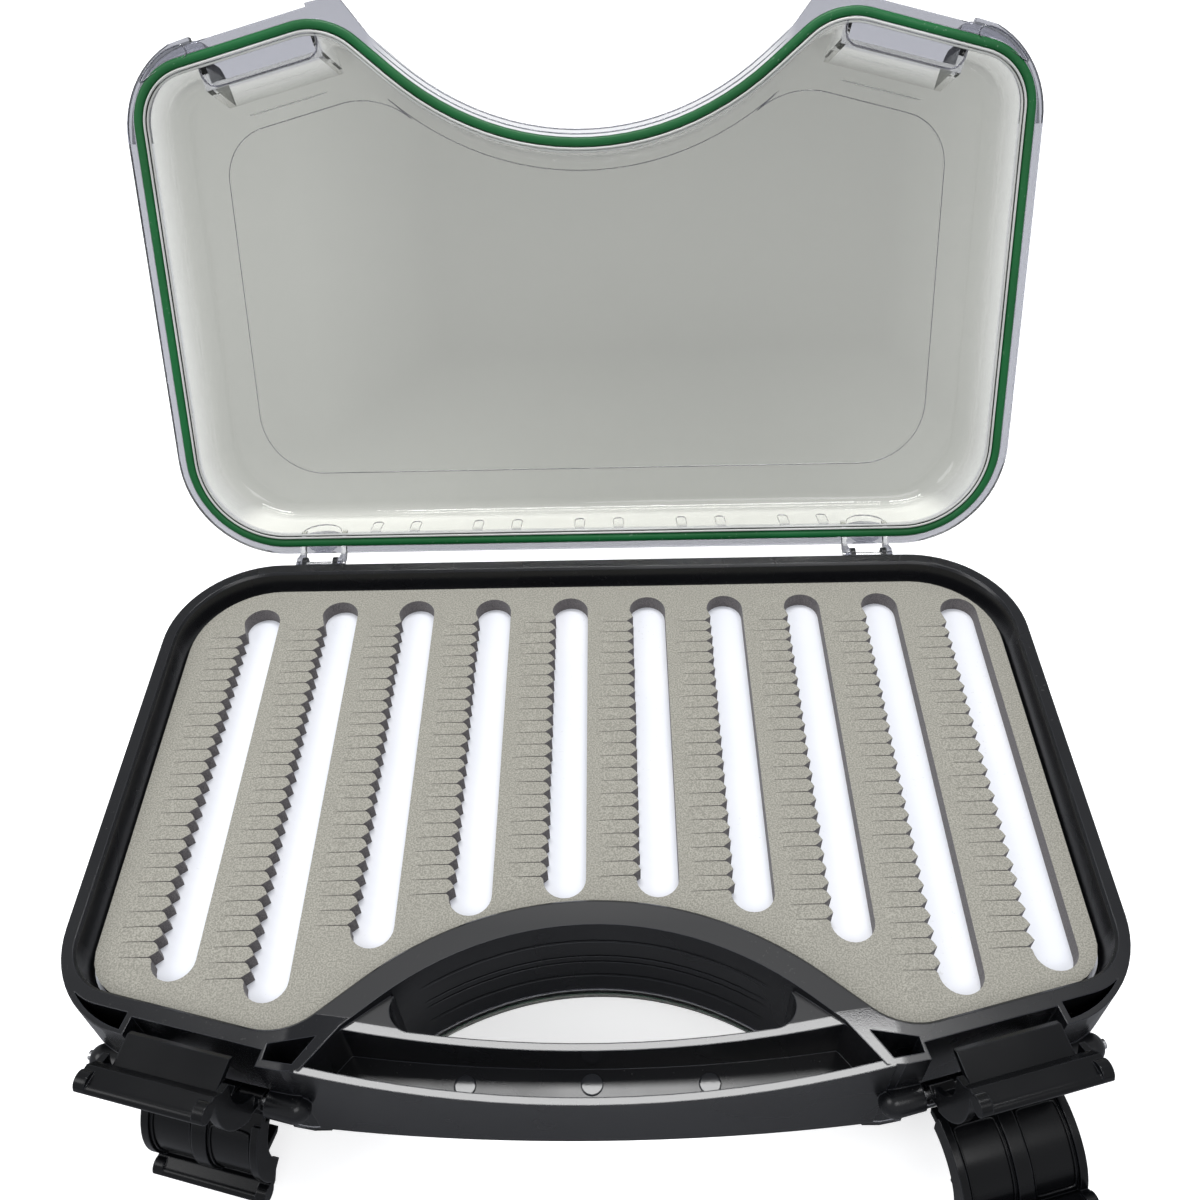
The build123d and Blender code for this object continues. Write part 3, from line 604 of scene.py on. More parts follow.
def arc_at(before, corner, after, radius, steps=24):
    """Points of the arc that rounds a corner, from one tangent point to the other.

    The tangent points lie radius * tan(turn / 2) from the corner, and the centre lies
    on the bisector, radius / cos(turn / 2) from it.
    """
    into = (corner - before) / np.linalg.norm(corner - before)
    out = (after - corner) / np.linalg.norm(after - corner)
    turn = np.arctan2(into[0] * out[1] - into[1] * out[0], into @ out)
    start = corner - into * radius * np.tan(abs(turn) / 2)
    side = np.sign(turn) * np.array([-into[1], into[0]])
    centre = start + side * radius
    angles = np.linspace(0.0, turn, steps)
    spoke = start - centre
    x = spoke[0] * np.cos(angles) - spoke[1] * np.sin(angles)
    y = spoke[0] * np.sin(angles) + spoke[1] * np.cos(angles)
    return centre + np.stack([x, y], axis=1)


def seal_outline(inset, front=None, notch=None, radii=None):
    """Closed outline parallel to the seal line, inset millimetres inside it.

    The sloping front edges and the notch may lie by other amounts inside it, and radii
    may round the back, front and notch corners otherwise.
    """
    front = inset if front is None else front
    notch = front if notch is None else notch
    slope = SEAL_FRONT - front
    flank = SEAL_FLANK - notch
    lines = [
        (90.0, SEAL_BACK - inset),
        (0.0, SEAL_SIDE - inset),
        (-90.0 + FRONT_SLOPE, slope),
        (-90.0 - FLANK_SLOPE, flank),
        (-90.0 + FLANK_SLOPE, flank),
        (-90.0 - FRONT_SLOPE, slope),
        (180.0, SEAL_SIDE - inset),
    ]
    right = radii or [BACK_RADIUS - inset, CORNER_RADIUS - front, PEAK_RADIUS - front]
    radii = right + [NOTCH_RADIUS + notch] + right[::-1]
    corners = [meeting(*pair) for pair in zip(lines, lines[1:] + lines[:1])]
    after = corners[1:] + corners[:1]
    arcs = [arc_at(corners[i - 1], corners[i], after[i], radii[i]) for i in range(len(lines))]
    return np.concatenate(arcs)[::-1]


def resampled(loop, pitch):
    """The closed loop again, with its points about pitch apart."""
    closed_loop = np.vstack([loop, loop[:1]])
    steps = np.linalg.norm(np.diff(closed_loop, axis=0), axis=1)
    along = np.concatenate([[0.0], np.cumsum(steps)])
    count = int(round(along[-1] / pitch))
    spots = np.linspace(0.0, along[-1], count, endpoint=False)
    return np.stack([np.interp(spots, along, closed_loop[:, i]) for i in (0, 1)], axis=1)


def left_of(loop):
    """Unit vectors square to a closed loop and to its left, one at each of its points."""
    ahead = np.roll(loop, -1, axis=0) - np.roll(loop, 1, axis=0)
    ahead /= np.linalg.norm(ahead, axis=1, keepdims=True)
    return np.stack([-ahead[:, 1], ahead[:, 0]], axis=1)


print("seal line", round(float(np.ptp(seal_outline(0.0)[:, 0])), 1), "mm wide")

# %% [markdown]
# ## Meshes from arrays
#
# A mesh is only an array of corners and an array of faces. Writing both in one go is
# fast, and it keeps the shape's formula apart from Blender's own calls.

# %% New objects
def new_piece(name, points, faces, material, body, smooth=False):
    """Object of a rigid body from arrays of points in millimetres and of faces."""
    mesh = bpy.data.meshes.new(name)
    faces = [[int(i) for i in ids] for ids in faces]
    mesh.from_pydata((np.asarray(points) * MM).tolist(), [], faces)
    mesh.materials.append(material)
    mesh.polygons.foreach_set("use_smooth", np.full(len(mesh.polygons), smooth))
    mesh.update()
    piece = bpy.data.objects.new(name, mesh)
    scene.collection.objects.link(piece)
    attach(piece, body)
    return piece


def grid_faces(rows, columns, closed_rows=False, closed_columns=False):
    """Quads of a grid of points, numbered row by row, that may close on itself."""
    row = np.arange(rows if closed_rows else rows - 1)
    column = np.arange(columns if closed_columns else columns - 1)
    r, c = np.meshgrid(row, column, indexing="ij")
    r2, c2 = (r + 1) % rows, (c + 1) % columns
    corners = [r * columns + c, r2 * columns + c, r2 * columns + c2, r * columns + c2]
    return np.stack(corners, axis=-1).reshape(-1, 4)


# %% Pieces of a lid
def lid_piece(name, points, faces, material, body, opened, face):
    """Smooth object given by the closed top lid's coordinates, set on the lid as it stands.

    Heights count from the frame's mid-plane. The lid turns about its hinge by the angle
    opened, and the lower lid, face -1, is the mirror image of the upper one.
    """
    placed = np.array(points, float)
    y, z = placed[:, 1] - HINGE_Y / MM, placed[:, 2] - HINGE_HALF / MM
    placed[:, 1] = HINGE_Y / MM + y * cos(opened) + z * sin(opened)
    placed[:, 2] = MIDDLE_HEIGHT / MM + face * (HINGE_HALF / MM - y * sin(opened) + z * cos(opened))
    faces = [list(ids)[::face] for ids in faces]
    return new_piece(name, placed, faces, material, body, smooth=True)


# %% [markdown]
# ## The foam inserts
#
# Each insert is a sheet of closed-cell foam with ten slots right through it. The left
# side of a slot is a row of teeth, and from every notch between two teeth a knife cut
# runs into the foam to grip the bend of a hook. So a slot's outline is one long comb:
# along each cut and back, then round the next tooth. The sheet's faces are found by
# triangulating between the outer outline and the ten combs.

# %% Slots
# A value that ends in VARIES is how much one tooth or cut may differ from the next.
SLOTS = 10
SLOT_PITCH, SLOT_SHIFT, SLOT_RADIUS = 30.45, 6.0, 7.0
SLOT_BACK = (81.8, 85.3, 85.3, 85.3, 85.3)         # ends of the outermost slot to the middle one
SLOT_FRONT = (-73.1, -80.3, -63.0, -52.3, -46.6)
TOOTH_PITCH, TOOTH_ROOT, TOOTH_TIP = 5.3, 8.2, 5.6
FIRST_TOOTH = 1.0          # the first notch, from the slot's round end
TIP_SHARE, TIP_VARIES = 0.42, 0.12     # a tooth's tip stands this far up its pitch
ROOT_IN = 0.4              # a tooth's round side starts this far inside its notch
FALL_POWER = 1.3           # how steeply that side falls towards its tip
LEAN = (0.12, 0.02)        # steps by which the first notch's lip leans away
CUT_LENGTH, LENGTH_VARIES = 11.0, 0.12
CUT_HALF = 0.14            # half the width to which a cut has opened
CUT_CLOSES = 0.8           # share of that width lost at the cut's end
CUT_SAG, SAG_VARIES = 0.25, 0.25       # a cut ends this much nearer the handle


def slot_loop(number, jitter):
    """Outline of one slot, anticlockwise round the hole, with its teeth and its cuts.

    A cut is the curve y = y0 - sag * t**2 for t from 0 at the notch to 1 at its end, and
    its two lips stand CUT_HALF * (1 - CUT_CLOSES * t) apart from that curve. The lip
    towards the handle bends round to the tip of its tooth on the curve
    x = root + width * sqrt(s), y = y0 - drop * s ** FALL_POWER, and from the tip a
    straight cut leads back to the next notch.
    """
    centre = (number - (SLOTS - 1) / 2) * SLOT_PITCH + SLOT_SHIFT
    row = min(number, SLOTS - 1 - number)
    back = SLOT_BACK[row] - SLOT_RADIUS
    front = SLOT_FRONT[row] + SLOT_RADIUS
    teeth = int((back - front) // TOOTH_PITCH)
    start = front + FIRST_TOOTH + np.arange(teeth) * TOOTH_PITCH
    wobble = jitter[:teeth, None]

    t = np.array([0.0, 0.35, 0.7, 0.9, 1.0])
    length = CUT_LENGTH * (1.0 + LENGTH_VARIES * wobble)
    x_in = centre - TOOTH_ROOT - length * t
    sag = start[:, None] - (CUT_SAG + SAG_VARIES * wobble) * t**2
    gap = CUT_HALF * (1.0 - CUT_CLOSES * t)
    lower = np.stack([x_in, sag - gap], axis=-1)
    upper = np.stack([x_in, sag + gap], axis=-1)[:, -2::-1]

    s = np.array([0.80, 0.55, 0.32, 0.14, 0.03])
    width = TOOTH_ROOT - TOOTH_TIP + ROOT_IN
    round_x = np.broadcast_to(centre - TOOTH_ROOT - ROOT_IN + width * np.sqrt(s), (teeth, len(s)))
    drop = (1.0 - TIP_SHARE) * TOOTH_PITCH
    round_y = start[:, None] - CUT_HALF - drop * s**FALL_POWER
    shoulder = np.stack([round_x, round_y], axis=-1)
    falling = np.arange(len(s))[::-1]
    shoulder[0, :, 0] = centre - TOOTH_ROOT + LEAN[0] * falling
    shoulder[0, :, 1] = start[0] - CUT_HALF - LEAN[1] * falling
    tip_x = centre - TOOTH_TIP + TIP_VARIES * wobble
    tip = np.stack([tip_x, start[:, None] + TIP_SHARE * TOOTH_PITCH], axis=-1)
    comb = np.concatenate([shoulder, lower[:, 1:], upper, tip], axis=1).reshape(-1, 2)

    sweep = np.linspace(0.0, np.pi, 15)
    half_turn = np.stack([np.cos(sweep), np.sin(sweep)], axis=1) * SLOT_RADIUS
    back_end = half_turn * (-1, 1) + (centre, back)
    front_end = half_turn * (1, -1) + (centre, front)
    down = np.linspace(back, front, 22)[1:-1]
    right_side = np.column_stack([np.full(len(down), centre + SLOT_RADIUS), down])
    return np.concatenate([comb, back_end, right_side, front_end])[::-1]


def inside(points, loop):
    """True for each point inside the closed loop.

    A ray that runs to the right from such a point crosses the loop an odd number of times.
    """
    x, y = points[:, 0, None], points[:, 1, None]
    x0, y0 = loop[:, 0], loop[:, 1]
    x1, y1 = np.roll(x0, -1), np.roll(y0, -1)
    spans = (y0 > y) != (y1 > y)
    rise = np.where(y1 == y0, 1e-12, y1 - y0)
    hits = spans & (x < x0 + (y - y0) * (x1 - x0) / rise)
    return hits.sum(axis=1) % 2 == 1


# %% Sheet of foam
FOAM_TOP = 16.0            # foam's upper face above the mid-plane
FOAM_THICK = 6.3
FOAM_IN, FOAM_FRONT_IN = 3.9, 6.0      # its outline, inside the seal line
FOAM_PITCH = 4.0           # between the outline's points
EDGE_DROP = 0.14           # a cut edge of the skin sinks this far
ACROSS_CUT = 0.30          # the skin is level this far past a knife cut
WAVE, WAVE_X, WAVE_Y = 0.05, 17.0, 23.0    # faint waves of the skin


def in_foam(points, outer, holes):
    """True for each point in the sheet's outline and in none of its slots."""
    found = inside(points, outer)
    for hole in holes:
        found &= ~inside(points, hole)
    return found


def foam_sheet(seed):
    """Arrays of one insert: its two skins' points, their triangles and its rims' edges.

    The skin stands at FOAM_TOP + WAVE * sin(x / WAVE_X) * cos(y / WAVE_Y), and EDGE_DROP
    lower along every rim. Extra points just across each knife cut hold it up there.
    """
    random = np.random.default_rng(seed)
    outer = resampled(seal_outline(FOAM_IN, FOAM_FRONT_IN), FOAM_PITCH)[::-1]
    holes = [slot_loop(number, random.uniform(-1, 1, 40)) for number in range(SLOTS)]
    loops = [outer] + holes
    extra = np.concatenate([hole + ACROSS_CUT * left_of(hole) for hole in holes])
    rim = np.concatenate(loops)
    points = np.concatenate([rim, extra[in_foam(extra, outer, holes)]])
    starts = np.cumsum([0] + [len(loop) for loop in loops])
    ids = [np.arange(first, last) for first, last in zip(starts[:-1], starts[1:])]
    edges = np.concatenate([np.stack([loop, np.roll(loop, -1)], axis=1) for loop in ids])

    found = delaunay_2d_cdt([Vector(p) for p in points], edges.tolist(), [], 0, 1e-5, True)
    plan, triangles, sources = np.array([tuple(p) for p in found[0]]), np.array(found[2]), found[3]
    triangles = triangles[in_foam(plan[triangles].mean(axis=1), outer, holes)]
    on_rim = np.array([min(olds, default=len(rim)) < len(rim) for olds in sources])
    wave = WAVE * np.sin(plan[:, 0] / WAVE_X) * np.cos(plan[:, 1] / WAVE_Y)
    upper = np.column_stack([plan, FOAM_TOP + wave - np.where(on_rim, EDGE_DROP, 0.0)])
    lower = np.column_stack([plan, np.full(len(plan), FOAM_TOP - FOAM_THICK)])
    number_of = {old: new for new, olds in enumerate(sources) for old in olds}
    order = np.array([number_of[i] for i in range(len(rim))])
    return upper, lower, triangles, order[edges]


def build_foam(name, face, node, seed):
    """An insert's object, with its walls' corners kept apart from the skins'.

    The walls' points follow those of the two skins and carry 1 in the attribute "cut",
    which gives the walls their painted shade.
    """
    upper, lower, triangles, walls = foam_sheet(seed)
    count = len(upper)
    used = np.unique(walls)
    renumber = np.zeros(count, int)
    renumber[used] = np.arange(len(used))
    points = np.concatenate([upper, lower, upper[used], lower[used]])
    top, bottom = 2 * count, 2 * count + len(used)
    a, b = renumber[walls].T
    quads = np.stack([top + b, top + a, bottom + a, bottom + b], axis=1)
    skins = np.concatenate([triangles, triangles[:, ::-1] + count])
    points[:, 2] = face * points[:, 2] + MIDDLE_HEIGHT / MM
    faces = skins[:, ::face].tolist() + quads[:, ::face].tolist()
    piece = new_piece(name, points, faces, foam_material, "frame")
    # Wall points carry 1, which paints the cut walls with painted shade.
    shade = (np.arange(len(points)) >= top).astype(np.float32)
    wall_shade_mark = piece.data.attributes.new("cut", "FLOAT", "POINT")
    wall_shade_mark.data.foreach_set("value", shade)
    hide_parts(node)
    print(name, len(faces), "faces")


build_foam("cut_foam_top", 1, "foam_top", 3)
build_foam("cut_foam_bottom", -1, "foam_bottom", 5)

# %% [markdown]
# ## The sealing cords
#
# A round rubber cord lies in a groove of each lid and is squeezed when the lid closes.
# It was cut to length and its two ends were glued, so there is a small joint in the
# middle of the hinge side. A cord is a profile carried along a path: the profile is a
# ring of angles, the path is the seal line, and the joint swells the ring a little.

# %% Cords
CORD_HALF_WIDTH, CORD_FIT = 1.7, 0.98  # it fills this share of the groove's width
CORD_PROUD, GROOVE_DEPTH = 0.7, 1.7
CORD_PITCH, CORD_SIDES = 1.6, 14
FLATNESS = 0.8             # power of the profile's cosine: under 1, its sides are steeper
JOINT_X = 2.0
JOINT_SWELL = 0.10         # share by which the joint swells and its glue line sinks
SWELL_REACH, NICK_REACH, MOST_SWELL = 1.6, 0.5, 1.04


def sealing_cord(name, node, body, opened, face):
    """Cord swept along the seal line.

    A ring point at angle a stands at half-width * |cos a| ** FLATNESS beside the path,
    with the sign of cos a, and its height is an ellipse's: height / 2 * sin a. The joint
    swells that height by JOINT_SWELL * (exp -(d / SWELL_REACH)^2 - exp -(d / NICK_REACH)^2)
    at distance d from its middle.
    """
    path = resampled(seal_outline(0.0), CORD_PITCH)
    angle = np.linspace(0.0, 2 * np.pi, CORD_SIDES, endpoint=False)
    from_joint = np.hypot(path[:, 0] - JOINT_X, path[:, 1] - SEAL_BACK)
    swell = 1.0 + JOINT_SWELL * np.exp(-((from_joint / SWELL_REACH) ** 2))
    swell -= JOINT_SWELL * np.exp(-((from_joint / NICK_REACH) ** 2))
    half_width = CORD_HALF_WIDTH * CORD_FIT
    half_height = (CORD_PROUD + GROOVE_DEPTH) / 2
    across = np.sign(np.cos(angle)) * np.abs(np.cos(angle)) ** FLATNESS * half_width
    upward = np.sin(angle) * half_height
    plan = path[:, None, :] + left_of(path)[:, None, :] * across[None, :, None]
    middle = MATING / MM + GROOVE_DEPTH - half_height
    z = middle + upward[None, :] * np.minimum(swell[:, None], MOST_SWELL)
    points = np.concatenate([plan, z[..., None]], axis=-1).reshape(-1, 3)
    faces = grid_faces(len(path), CORD_SIDES, True, True)
    cord = lid_piece(name, points, faces, green_rubber, body, opened, face)
    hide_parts(node)


sealing_cord("sealing_cord_top", "top_gasket", "top_lid", LID_OPEN, 1)
sealing_cord("sealing_cord_bottom", "bottom_gasket", "bottom_lid", 0.0, -1)
print("cords swept")

# %% [markdown]
# ## Moulded trims of the clear lids
#
# A mould leaves a rounded bead wherever two walls meet, and a clear lid shows each of
# them as a thin line. The beads round the lid's mouth and behind each latch are opaque
# and painted pale, a painted highlight where those edges catch the light. The lid also
# has thicker corners beside the levers, each with a crescent on its face, and a domed
# boss over each hinge.

# %% Clear trim materials
clear_edge = toned(
    "clear_edge", (0.30, 0.30, 0.36, 1.0), (0.36, 0.36, 0.41, 1.0), grain=300.0,
    strength=0.05, distance=0.3 * MM, dust=0.1, Transmission_Weight=1.0, IOR=1.38, Roughness=0.04,
)
clear_thick = toned(
    "clear_thick", (0.62, 0.63, 0.70, 1.0), (0.70, 0.71, 0.77, 1.0), grain=80.0,
    strength=0.10, distance=0.5 * MM, dust=0.1, Transmission_Weight=1.0, IOR=1.38, Roughness=0.03,
)
# This bead finish is opaque and painted pale: a painted highlight for the lid's edges catching the
# light.
painted_highlight_bead = toned(
    "painted_highlight_bead", (0.44, 0.45, 0.43, 1.0), (0.54, 0.55, 0.53, 1.0), grain=900.0,
    strength=0.05, distance=0.1 * MM, dust=0.3, IOR=1.45, Roughness=0.22,
)


# %% Beads
BEAD_SIDES = 8
END_SHARE = 0.002          # what is left of an open bead's section at its very end
ASIDE = (0.0, 0.6, 0.8)    # a direction that no path here takes


def bead(path, radius, closed=False):
    """Round bead along a path in space; the ends of an open one taper away.

    With a the path's direction, u = a x ASIDE and v = a x u span a ring square to it,
    and a point of the ring is path + radius * (u cos t + v sin t).
    """
    path = np.asarray(path, float)
    if closed:
        ahead = np.roll(path, -1, axis=0) - np.roll(path, 1, axis=0)
        size = np.full(len(path), radius)
    else:
        ahead = np.gradient(path, axis=0)
        share = np.linspace(-1.0, 1.0, len(path))
        size = radius * np.sqrt(1.0 - (1.0 - END_SHARE) * share**8)
    ahead /= np.linalg.norm(ahead, axis=1, keepdims=True)
    across = np.cross(ahead, ASIDE)
    across /= np.linalg.norm(across, axis=1, keepdims=True)
    other = np.cross(ahead, across)
    t = np.linspace(0.0, 2 * np.pi, BEAD_SIDES, endpoint=False)[None, :, None]
    ring = across[:, None] * np.cos(t) + other[:, None] * np.sin(t)
    points = path[:, None] + size[:, None, None] * ring
    return points.reshape(-1, 3), grid_faces(len(path), BEAD_SIDES, closed, True)


def joined(parts):
    """One array of points and one list of faces from several."""
    starts = np.cumsum([0] + [len(points) for points, _ in parts])
    faces = []
    for (_, group), start in zip(parts, starts):
        faces += [[i + start for i in ids] for ids in group]
    return np.concatenate([points for points, _ in parts]), faces


def softened(corners, closed=True, rounds=3):
    """Corners cut again and again at a quarter of each side, which tends to a smooth curve."""
    points = np.asarray(corners, float)
    for _ in range(rounds):
        ahead = np.roll(points, -1, axis=0)
        near, far = 0.75 * points + 0.25 * ahead, 0.25 * points + 0.75 * ahead
        cut = np.stack([near, far], axis=1).reshape(-1, 2)
        points = cut if closed else np.concatenate([points[:1], cut[:-2], points[-1:]])
    return points


def at_height(plan, z):
    """Plan points lifted to one height."""
    return np.column_stack([plan, np.full(len(plan), z)])


def mirrored(plan, side):
    """A plan drawn for the right side, or its mirror image."""
    return plan * (side, 1.0)


# %% Places on the lid
STATION = np.array([117.5, -98.8])     # middle of a latch's pin
STATION_SLOPE = radians(14.04)
HINGES_X = (-111.5, 111.5)
MATE = MATING / MM
FLANGE_TOP = 27.0
ON_FLANGE = FLANGE_TOP + 0.05          # just clear of its face
PANEL_INSIDE = 48.2        # inner face of the closed lid's panel
POCKET_ROOF = 24.7
CAVITY_IN = 2.8            # inside of the lid's wall, from the seal line


def at_station(u, inwards):
    """Plan points at a latch: u runs along the pin and inwards goes into the case."""
    along = np.array([cos(STATION_SLOPE), sin(STATION_SLOPE)])
    into = np.array([-sin(STATION_SLOPE), cos(STATION_SLOPE)])
    return STATION + np.outer(u, along) + np.outer(inwards, into)


# %% Lines on the lid
POCKET_HALF, POCKET_DEPTH, POCKET_START, POCKET_CORNER = 21.8, 19.0, 10.5, 5.5
RIB_HALF, RIB_FOOT, RIB_SHOULDER = 2.0, 27.3, 35.0
RIB_BACK, RIB_LEAN = 91.62, 0.055      # the back wall leans in as it rises
DOME_RADIUS, DOME_FOOT, DOME_BACK, DOME_LEAN = 7.8, 27.2, 92.05, 0.107
DOME_END = 0.05            # radians left out at each end of its outline
NOTCH_HALF = 74.0          # the notch's lines end here, either way from the middle
NOTCH_PITCH = 2.0


def pocket_edge():
    """Open outline of a finger pocket: down one side, round two corners and back up."""
    turn = np.linspace(0.0, np.pi / 2, 10)
    u = POCKET_HALF - POCKET_CORNER * (1.0 - np.cos(turn))
    d = POCKET_DEPTH - POCKET_CORNER * (1.0 - np.sin(turn))
    down = np.linspace(POCKET_START, POCKET_DEPTH - POCKET_CORNER, 8)[:-1]
    flat = np.linspace(POCKET_HALF - POCKET_CORNER, POCKET_CORNER - POCKET_HALF, 24)[1:-1]
    side = np.full(len(down), POCKET_HALF)
    us = np.concatenate([side, u, flat, -u[::-1], -side])
    ds = np.concatenate([down, d, np.full(len(flat), POCKET_DEPTH), d[::-1], down[::-1]])
    return at_station(us, ds)


def rib_edge(x):
    """Inverted U on the lid's back wall: two sides and a round top."""
    turn = np.linspace(0.0, np.pi, 12)
    side = np.linspace(RIB_FOOT, RIB_SHOULDER, 6)[:-1]
    ones = np.ones(len(side))
    xs = np.concatenate([ones * (x + RIB_HALF), x + RIB_HALF * np.cos(turn), ones * (x - RIB_HALF)])
    zs = np.concatenate([side, RIB_SHOULDER + RIB_HALF * np.sin(turn), side[::-1]])
    return np.column_stack([xs, RIB_BACK - RIB_LEAN * (zs - FLANGE_TOP), zs])


def dome_edge(x):
    """Outline of a hinge's dome on the lid's back wall: half a circle."""
    turn = np.linspace(DOME_END, np.pi - DOME_END, 30)
    zs = DOME_FOOT + DOME_RADIUS * np.sin(turn)
    ys = DOME_BACK - DOME_LEAN * (zs - FLANGE_TOP)
    return np.column_stack([x + DOME_RADIUS * np.cos(turn), ys, zs])


def notch_run(inset):
    """The part of a parallel outline that goes round the notch for the hand."""
    outline = resampled(seal_outline(inset), NOTCH_PITCH)
    return outline[(np.abs(outline[:, 0]) < NOTCH_HALF) & (outline[:, 1] < 0.0)]


# %% Thick corners
EAR = [
    (132.9, -87.9), (133.9, -90.8), (138.4, -92.0), (150.6, -87.1),
    (158.3, -78.5), (163.2, -68.0), (164.5, -57.8),
]
EAR_INWARDS = np.array([0.0, 0.15, 0.6, 1.5, 2.8])     # the profile's points, from its face
EAR_HEIGHTS = np.array([ON_FLANGE, 31.0, 32.8, 33.7, 34.0, 34.0, ON_FLANGE])
EAR_MOST = 0.8             # the round part ends by this share of the way to the seal line
EAR_SEAL = -0.6            # where its inner edge lies, as an inset of the seal line


def corner_ear(side):
    """Thick corner under the flange: a rounded profile carried from the lever to the side.

    Each section goes from the seal line, q, to the ear's outline, p, and a point of the
    profile stands at p - (p - q) / |p - q| * inwards.
    """
    p = mirrored(softened(EAR, closed=False), side)
    seal = mirrored(resampled(seal_outline(EAR_SEAL), 0.5), side)
    q = seal[np.linalg.norm(seal[None] - p[:, None], axis=2).argmin(axis=1)]
    reach = np.linalg.norm(p - q, axis=1)[:, None, None]
    back = (q - p)[:, None] / reach
    outer = p[:, None] + back * np.minimum(EAR_INWARDS[None, :, None], EAR_MOST * reach)
    rows = np.concatenate([outer, q[:, None], q[:, None]], axis=1)
    z = np.broadcast_to(EAR_HEIGHTS, rows.shape[:2])
    points = np.concatenate([rows, z[..., None]], axis=2).reshape(-1, 3)
    columns = len(EAR_HEIGHTS)
    faces = grid_faces(len(p), columns, False, True)[:, ::-side].tolist()
    first = list(range(columns))[::side]
    last = list(range(len(points) - columns, len(points)))[::-side]
    return points, faces + [first, last]


# %% Hinge domes
SPHERE_RADIUS, SPHERE_BACK = 8.0, 92.6
SPHERE_CUT = 2.6           # it ends this far behind its centre
OUT_STEPS, UP_STEPS = 14, 25
POLE = 0.03                # radians, where the first ring lies round the pole


def hinge_dome(x):
    """Quarter of a sphere, cut by the back wall and by the flange.

    A point stands at radius * (sin out cos up, cos out, sin out sin up) from its centre.
    """
    theta = np.linspace(POLE, np.arccos(SPHERE_CUT / SPHERE_RADIUS), OUT_STEPS)
    out, up = np.meshgrid(theta, np.linspace(0.0, np.pi, UP_STEPS), indexing="ij")
    spokes = np.stack([np.sin(out) * np.cos(up), np.cos(out), np.sin(out) * np.sin(up)], axis=2)
    points = (np.array([x, SPHERE_BACK, ON_FLANGE]) + SPHERE_RADIUS * spokes).reshape(-1, 3)
    faces = grid_faces(OUT_STEPS, UP_STEPS).tolist()
    ids = np.arange(len(points)).reshape(OUT_STEPS, UP_STEPS)
    foot = ids[:, 0].tolist() + ids[::-1, -1].tolist()
    return points, faces + [ids[-1].tolist(), foot]


# %% Build the trims of both lids
# A bead's pair is its radius and how far its middle lies above the face that it marks.
PANEL_BEAD, POCKET_BEAD = (0.20, -0.25), (0.45, -0.5)
NOTCH_BEAD, CRESCENT_BEAD = (0.25, -0.3), (0.30, -0.32)
WALL_BEAD, LIP_BEAD, LATCH_BEAD = (0.42, 0.3), (0.44, -0.46), (0.28, -0.35)
RIB_BEAD, DOME_BEAD = 0.26, 0.28       # radii alone
PANEL_INSETS, PANEL_RADII = (23.0, 26.0, 10.0), [25.0, 20.0, 30.0]
NOTCH_INSETS, WALL_INSET, LIP_INSET = (-2.7, -4.2), CAVITY_IN + 0.55, CAVITY_IN - 0.45
LATCH_FROM, LATCH_TO, LATCH_IN = -15.0, 17.0, 28.5
TRIM_PITCH = 2.0
RIBS_X = [2.5 + 42.0 * pair + half for pair in range(-2, 3) for half in (-8.0, 8.0)]
CRESCENT = [
    (158.9, -76.7), (148.9, -83.1), (139.0, -85.4),
    (140.0, -90.6), (148.0, -88.1), (154.6, -82.4),
]


def bead_by(plan, face_height, pair, closed=False):
    """Bead along plan points by a level face; pair is its radius and its middle's offset."""
    radius, offset = pair
    return bead(at_height(plan, face_height + offset), radius, closed)


def fine_lines():
    """Beads that show as thin dark lines, such as those of the panel and the pockets."""
    panel = resampled(seal_outline(*PANEL_INSETS, PANEL_RADII), TRIM_PITCH)
    beads = [bead_by(panel, PANEL_INSIDE, PANEL_BEAD, closed=True)]
    beads += [bead(rib_edge(x), RIB_BEAD) for x in RIBS_X]
    beads += [bead(dome_edge(x), DOME_BEAD) for x in HINGES_X]
    beads += [bead_by(notch_run(inset), MATE, NOTCH_BEAD) for inset in NOTCH_INSETS]
    for side in (1, -1):
        beads.append(bead_by(mirrored(pocket_edge(), side), POCKET_ROOF, POCKET_BEAD))
        crescent = mirrored(softened(CRESCENT), side)
        beads.append(bead_by(crescent, MATE, CRESCENT_BEAD, closed=True))
    return beads


def highlight_beads():
    """Opaque pale beads, a painted highlight where the lid's edges catch the light: two round the
    lid's mouth and one behind each latch.
    """
    wall = resampled(seal_outline(WALL_INSET), TRIM_PITCH)
    lip = resampled(seal_outline(LIP_INSET), TRIM_PITCH)
    beads = [bead_by(wall, MATE, WALL_BEAD, closed=True)]
    beads.append(bead_by(lip, MATE, LIP_BEAD, closed=True))
    along = np.linspace(LATCH_FROM, LATCH_TO, 20)
    line = at_station(along, np.full(len(along), LATCH_IN))
    return beads + [bead_by(mirrored(line, side), PANEL_INSIDE, LATCH_BEAD) for side in (1, -1)]


def thick_parts():
    """The corners beside the levers and the domes over the hinges."""
    return [corner_ear(side) for side in (1, -1)] + [hinge_dome(x) for x in HINGES_X]


def dress_lid(label, body, opened, face):
    """All trims of one lid, one piece for each material."""
    kinds = (
        ("edges", fine_lines(), clear_edge),
        # The rim's beads carry the painted highlight.
        ("rim", highlight_beads(), painted_highlight_bead),
        ("corners", thick_parts(), clear_thick),
    )
    for kind, parts, material in kinds:
        points, faces = joined(parts)
        piece = lid_piece(f"{label}_{kind}", points, faces, material, body, opened, face)
        print(piece.name, len(faces), "faces")


dress_lid("upper_lid", "top_lid", LID_OPEN, 1)
dress_lid("lower_lid", "bottom_lid", 0.0, -1)

